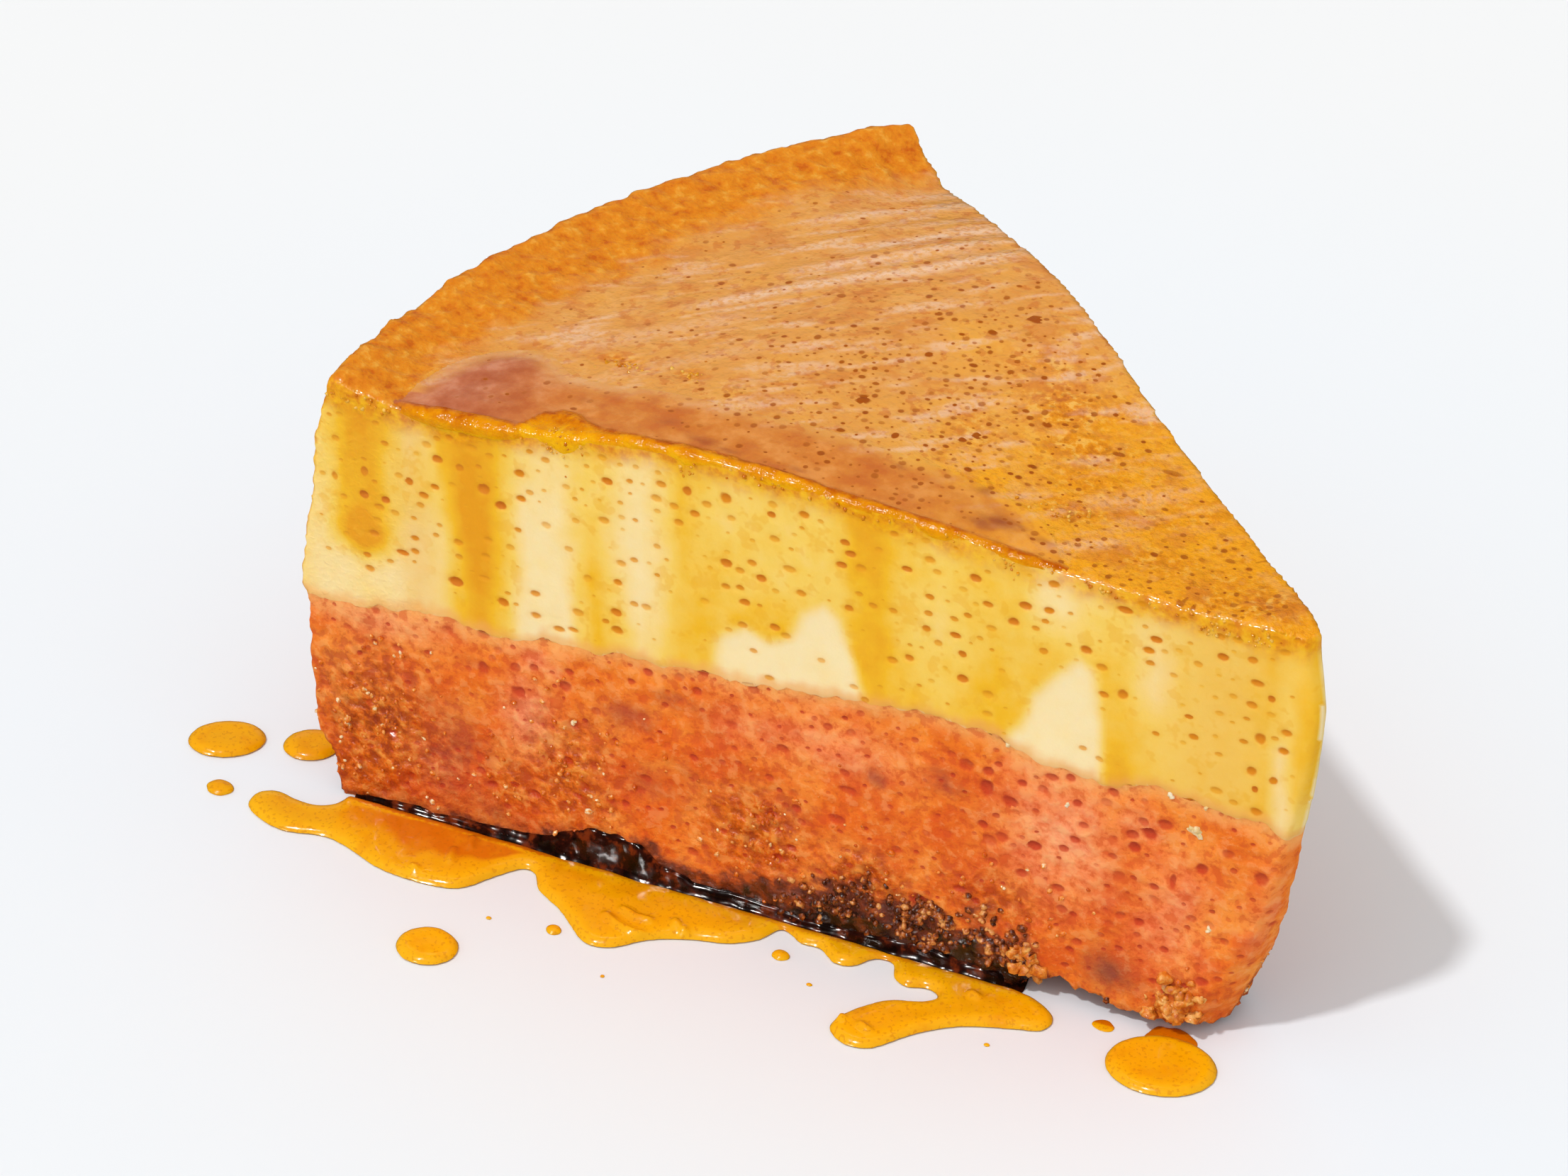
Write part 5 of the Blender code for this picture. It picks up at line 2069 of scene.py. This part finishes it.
# %% Custard chips and amber beads
chip_look = crumb_finish("custard_chip", ((0.2, 240, 206, 140), (0.8, 252, 236, 204)), 0.4, 0.35)
chip_spots = []
for index, (along, level, size) in enumerate((
        (11.5, 27.2, 1.3), (12.2, 27.4, .9), (14.5, 31.2, .8), (10.8, 30.3, .6), (9.6, 15.2, .7),
        (25.5, 26.2, .5), (32.0, 31.5, .7))):
    chip_spots += heap(170 + index, (along, level), (.15, .15), 2, (size * 0.8, size))
scatter("custard_chips", lump_shapes(4, 11.0, 0.8, 2), chip_spots, chip_look, "custard", 171)

BEADS = (((82.6, -.4), (1.1, 1.3), 60), ((60.5, -.6), (2.2, .5), 20),
         ((33, -1), (.8, .6), 14), ((10.5, -1), (1.6, .6), 26), ((6, -.8), (.8, .6), 16),
         ((106, -.8), (2.5, .5), 22), ((68.3, -1.6), (.5, .6), 14), ((48, -.9), (5, .4), 14),
         ((20, -.8), (6, .4), 18), ((82.5, 15.3), (1.5, .6), 22), ((75, 15), (.8, .8), 16),
         ((30.5, 9), (1.6, 1), 22))
bead_spots = []
draw = random.Random(181)
for centre, spread_out, count in BEADS:
    for _ in range(count):
        place = draw.gauss(centre[0], spread_out[0]), draw.gauss(centre[1], spread_out[1])
        point, outward = onto_slice(*place)
        bead_spots.append((tuple(point), tuple(outward), draw.uniform(0.25, 0.6)))
amber_look = crumb_finish("amber_bead", ((0.1, 206, 112, 4), (0.5, 236, 156, 20),
                                         (0.9, 248, 192, 84)), 0.5, 0.2)
scatter("amber_beads", small_lumps, bead_spots, amber_look, "sauce", 182)

# %% [markdown]
# ## Floor, light and camera
#
# The slice stands on a broad pale floor, painted a little bluer near the slice to cancel
# the warm light that the cake bounces onto it. The floor is hidden from glossy
# reflections, so that the wet parts stay dark and clear.

# %% Floor


def floor_finish():
    made, tree, shader = new_finish("pale_floor", Roughness=0.75, Specular_IOR_Level=0.2)
    tone = mixed(tree, mottle(tree, 90.0, 2.0, 0.5), (0.86, 0.868, 0.872, 1.0),
                 (0.868, 0.876, 0.88, 1.0))
    place = node(tree, "ShaderNodeTexCoord").outputs["Object"]
    away = node(tree, "ShaderNodeVectorMath", {0: place}, operation="LENGTH").outputs["Value"]
    # Painted against bounced light: near the slice the floor is bluer, to cancel the cake's warm
    # bounce.
    beside = stretch(tree, away, 0.06, 0.2, 1.0, 0.0)
    tone = mixed(tree, beside, tone, (0.835, 0.877, 0.92, 1.0))
    feed(tree, shader, Base_Color=tone)
    return made


FLOOR_HALF = 3.0
floor_bm = bmesh.new()
bmesh.ops.create_grid(floor_bm, x_segments=12, y_segments=12, size=FLOOR_HALF)
floor_mesh = bpy.data.meshes.new("floor")
floor_bm.to_mesh(floor_mesh)
floor_bm.free()
floor_mesh.materials.append(floor_finish())
floor = bpy.data.objects.new("floor", floor_mesh)
bpy.context.scene.collection.objects.link(floor)
floor.location.z = -0.00005
floor.visible_glossy = False
print("floor", FLOOR_HALF * 2.0, "metres across")

# %% [markdown]
# An even white surround and one harder lamp give a bright picture with a clear shadow.
# Two more lamps show only in gloss: a panel behind the slice and a low sun before it. The
# surround is nearly dark in gloss, or every wet surface would turn grey.

# %% Light
KEY_DIRECTION = Vector((-0.013, -0.476, 0.880))
KEY_STRENGTH = 1.35
SPARKLE_DIRECTION = Vector((0.069, -0.935, 0.344))
SPARKLE_STRENGTH = 2.2
FILL_STRENGTH = 0.72
GLOSSY_STRENGTH = 0.05


def add_lamp(name, kind, place, aim, **options):
    lamp = bpy.data.lights.new(name, kind)
    for key, value in options.items():
        setattr(lamp, key, value)
    made = bpy.data.objects.new(name, lamp)
    made.location = place
    made.rotation_euler = (Vector(place) - Vector(aim)).to_track_quat("Z", "Y").to_euler()
    bpy.context.scene.collection.objects.link(made)
    return made


add_lamp("key", "SUN", KEY_DIRECTION, (0.0, 0.0, 0.0), energy=KEY_STRENGTH,
         angle=math.radians(3.5), color=(1.0, 1.0, 1.0))
gloss = add_lamp("gloss", "AREA", (-0.75, 0.68, 0.42), (0.0, 0.0, 0.05), energy=0.1,
                 shape="RECTANGLE", size=0.7, size_y=0.3, color=(1.0, 0.97, 0.97))
sparkle = add_lamp("sparkle", "SUN", SPARKLE_DIRECTION, (0.0, 0.0, 0.0),
                   energy=SPARKLE_STRENGTH, angle=math.radians(5.0), color=(1.0, 0.98, 0.95))
for lamp in (gloss, sparkle):
    lamp.visible_camera = False
    lamp.visible_diffuse = False
world = bpy.data.worlds.new("studio")
world.use_nodes = True
fill = world.node_tree.nodes["Background"]
fill.inputs["Color"].default_value = (1.0, 1.0, 1.0, 1.0)
ray = node(world.node_tree, "ShaderNodeLightPath").outputs["Is Glossy Ray"]
strength = stretch(world.node_tree, ray, 0.0, 1.0, FILL_STRENGTH, GLOSSY_STRENGTH)
world.node_tree.links.new(strength, fill.inputs["Strength"])
bpy.context.scene.world = world
bpy.context.scene.view_settings.view_transform = "Standard"
print("lamps:", [item.name for item in bpy.data.lights])

# %% [markdown]
# A long lens looks down on the near cut face from its right, far enough away that the
# slice's edges hardly converge.

# %% Camera
camera_data = bpy.data.cameras.new("camera")
camera_data.lens = 100.0
camera_data.sensor_width = 36.0
camera_data.clip_start = 0.01
camera_data.clip_end = 20.0
camera = bpy.data.objects.new("camera", camera_data)
camera.location = (0.288955, -0.270204, 0.295234)
camera.rotation_euler = (math.radians(90.0 - 34.407), 0.0, math.radians(47.47))
bpy.context.scene.collection.objects.link(camera)
bpy.context.scene.camera = camera
print("camera at", tuple(round(value, 3) for value in camera.location))
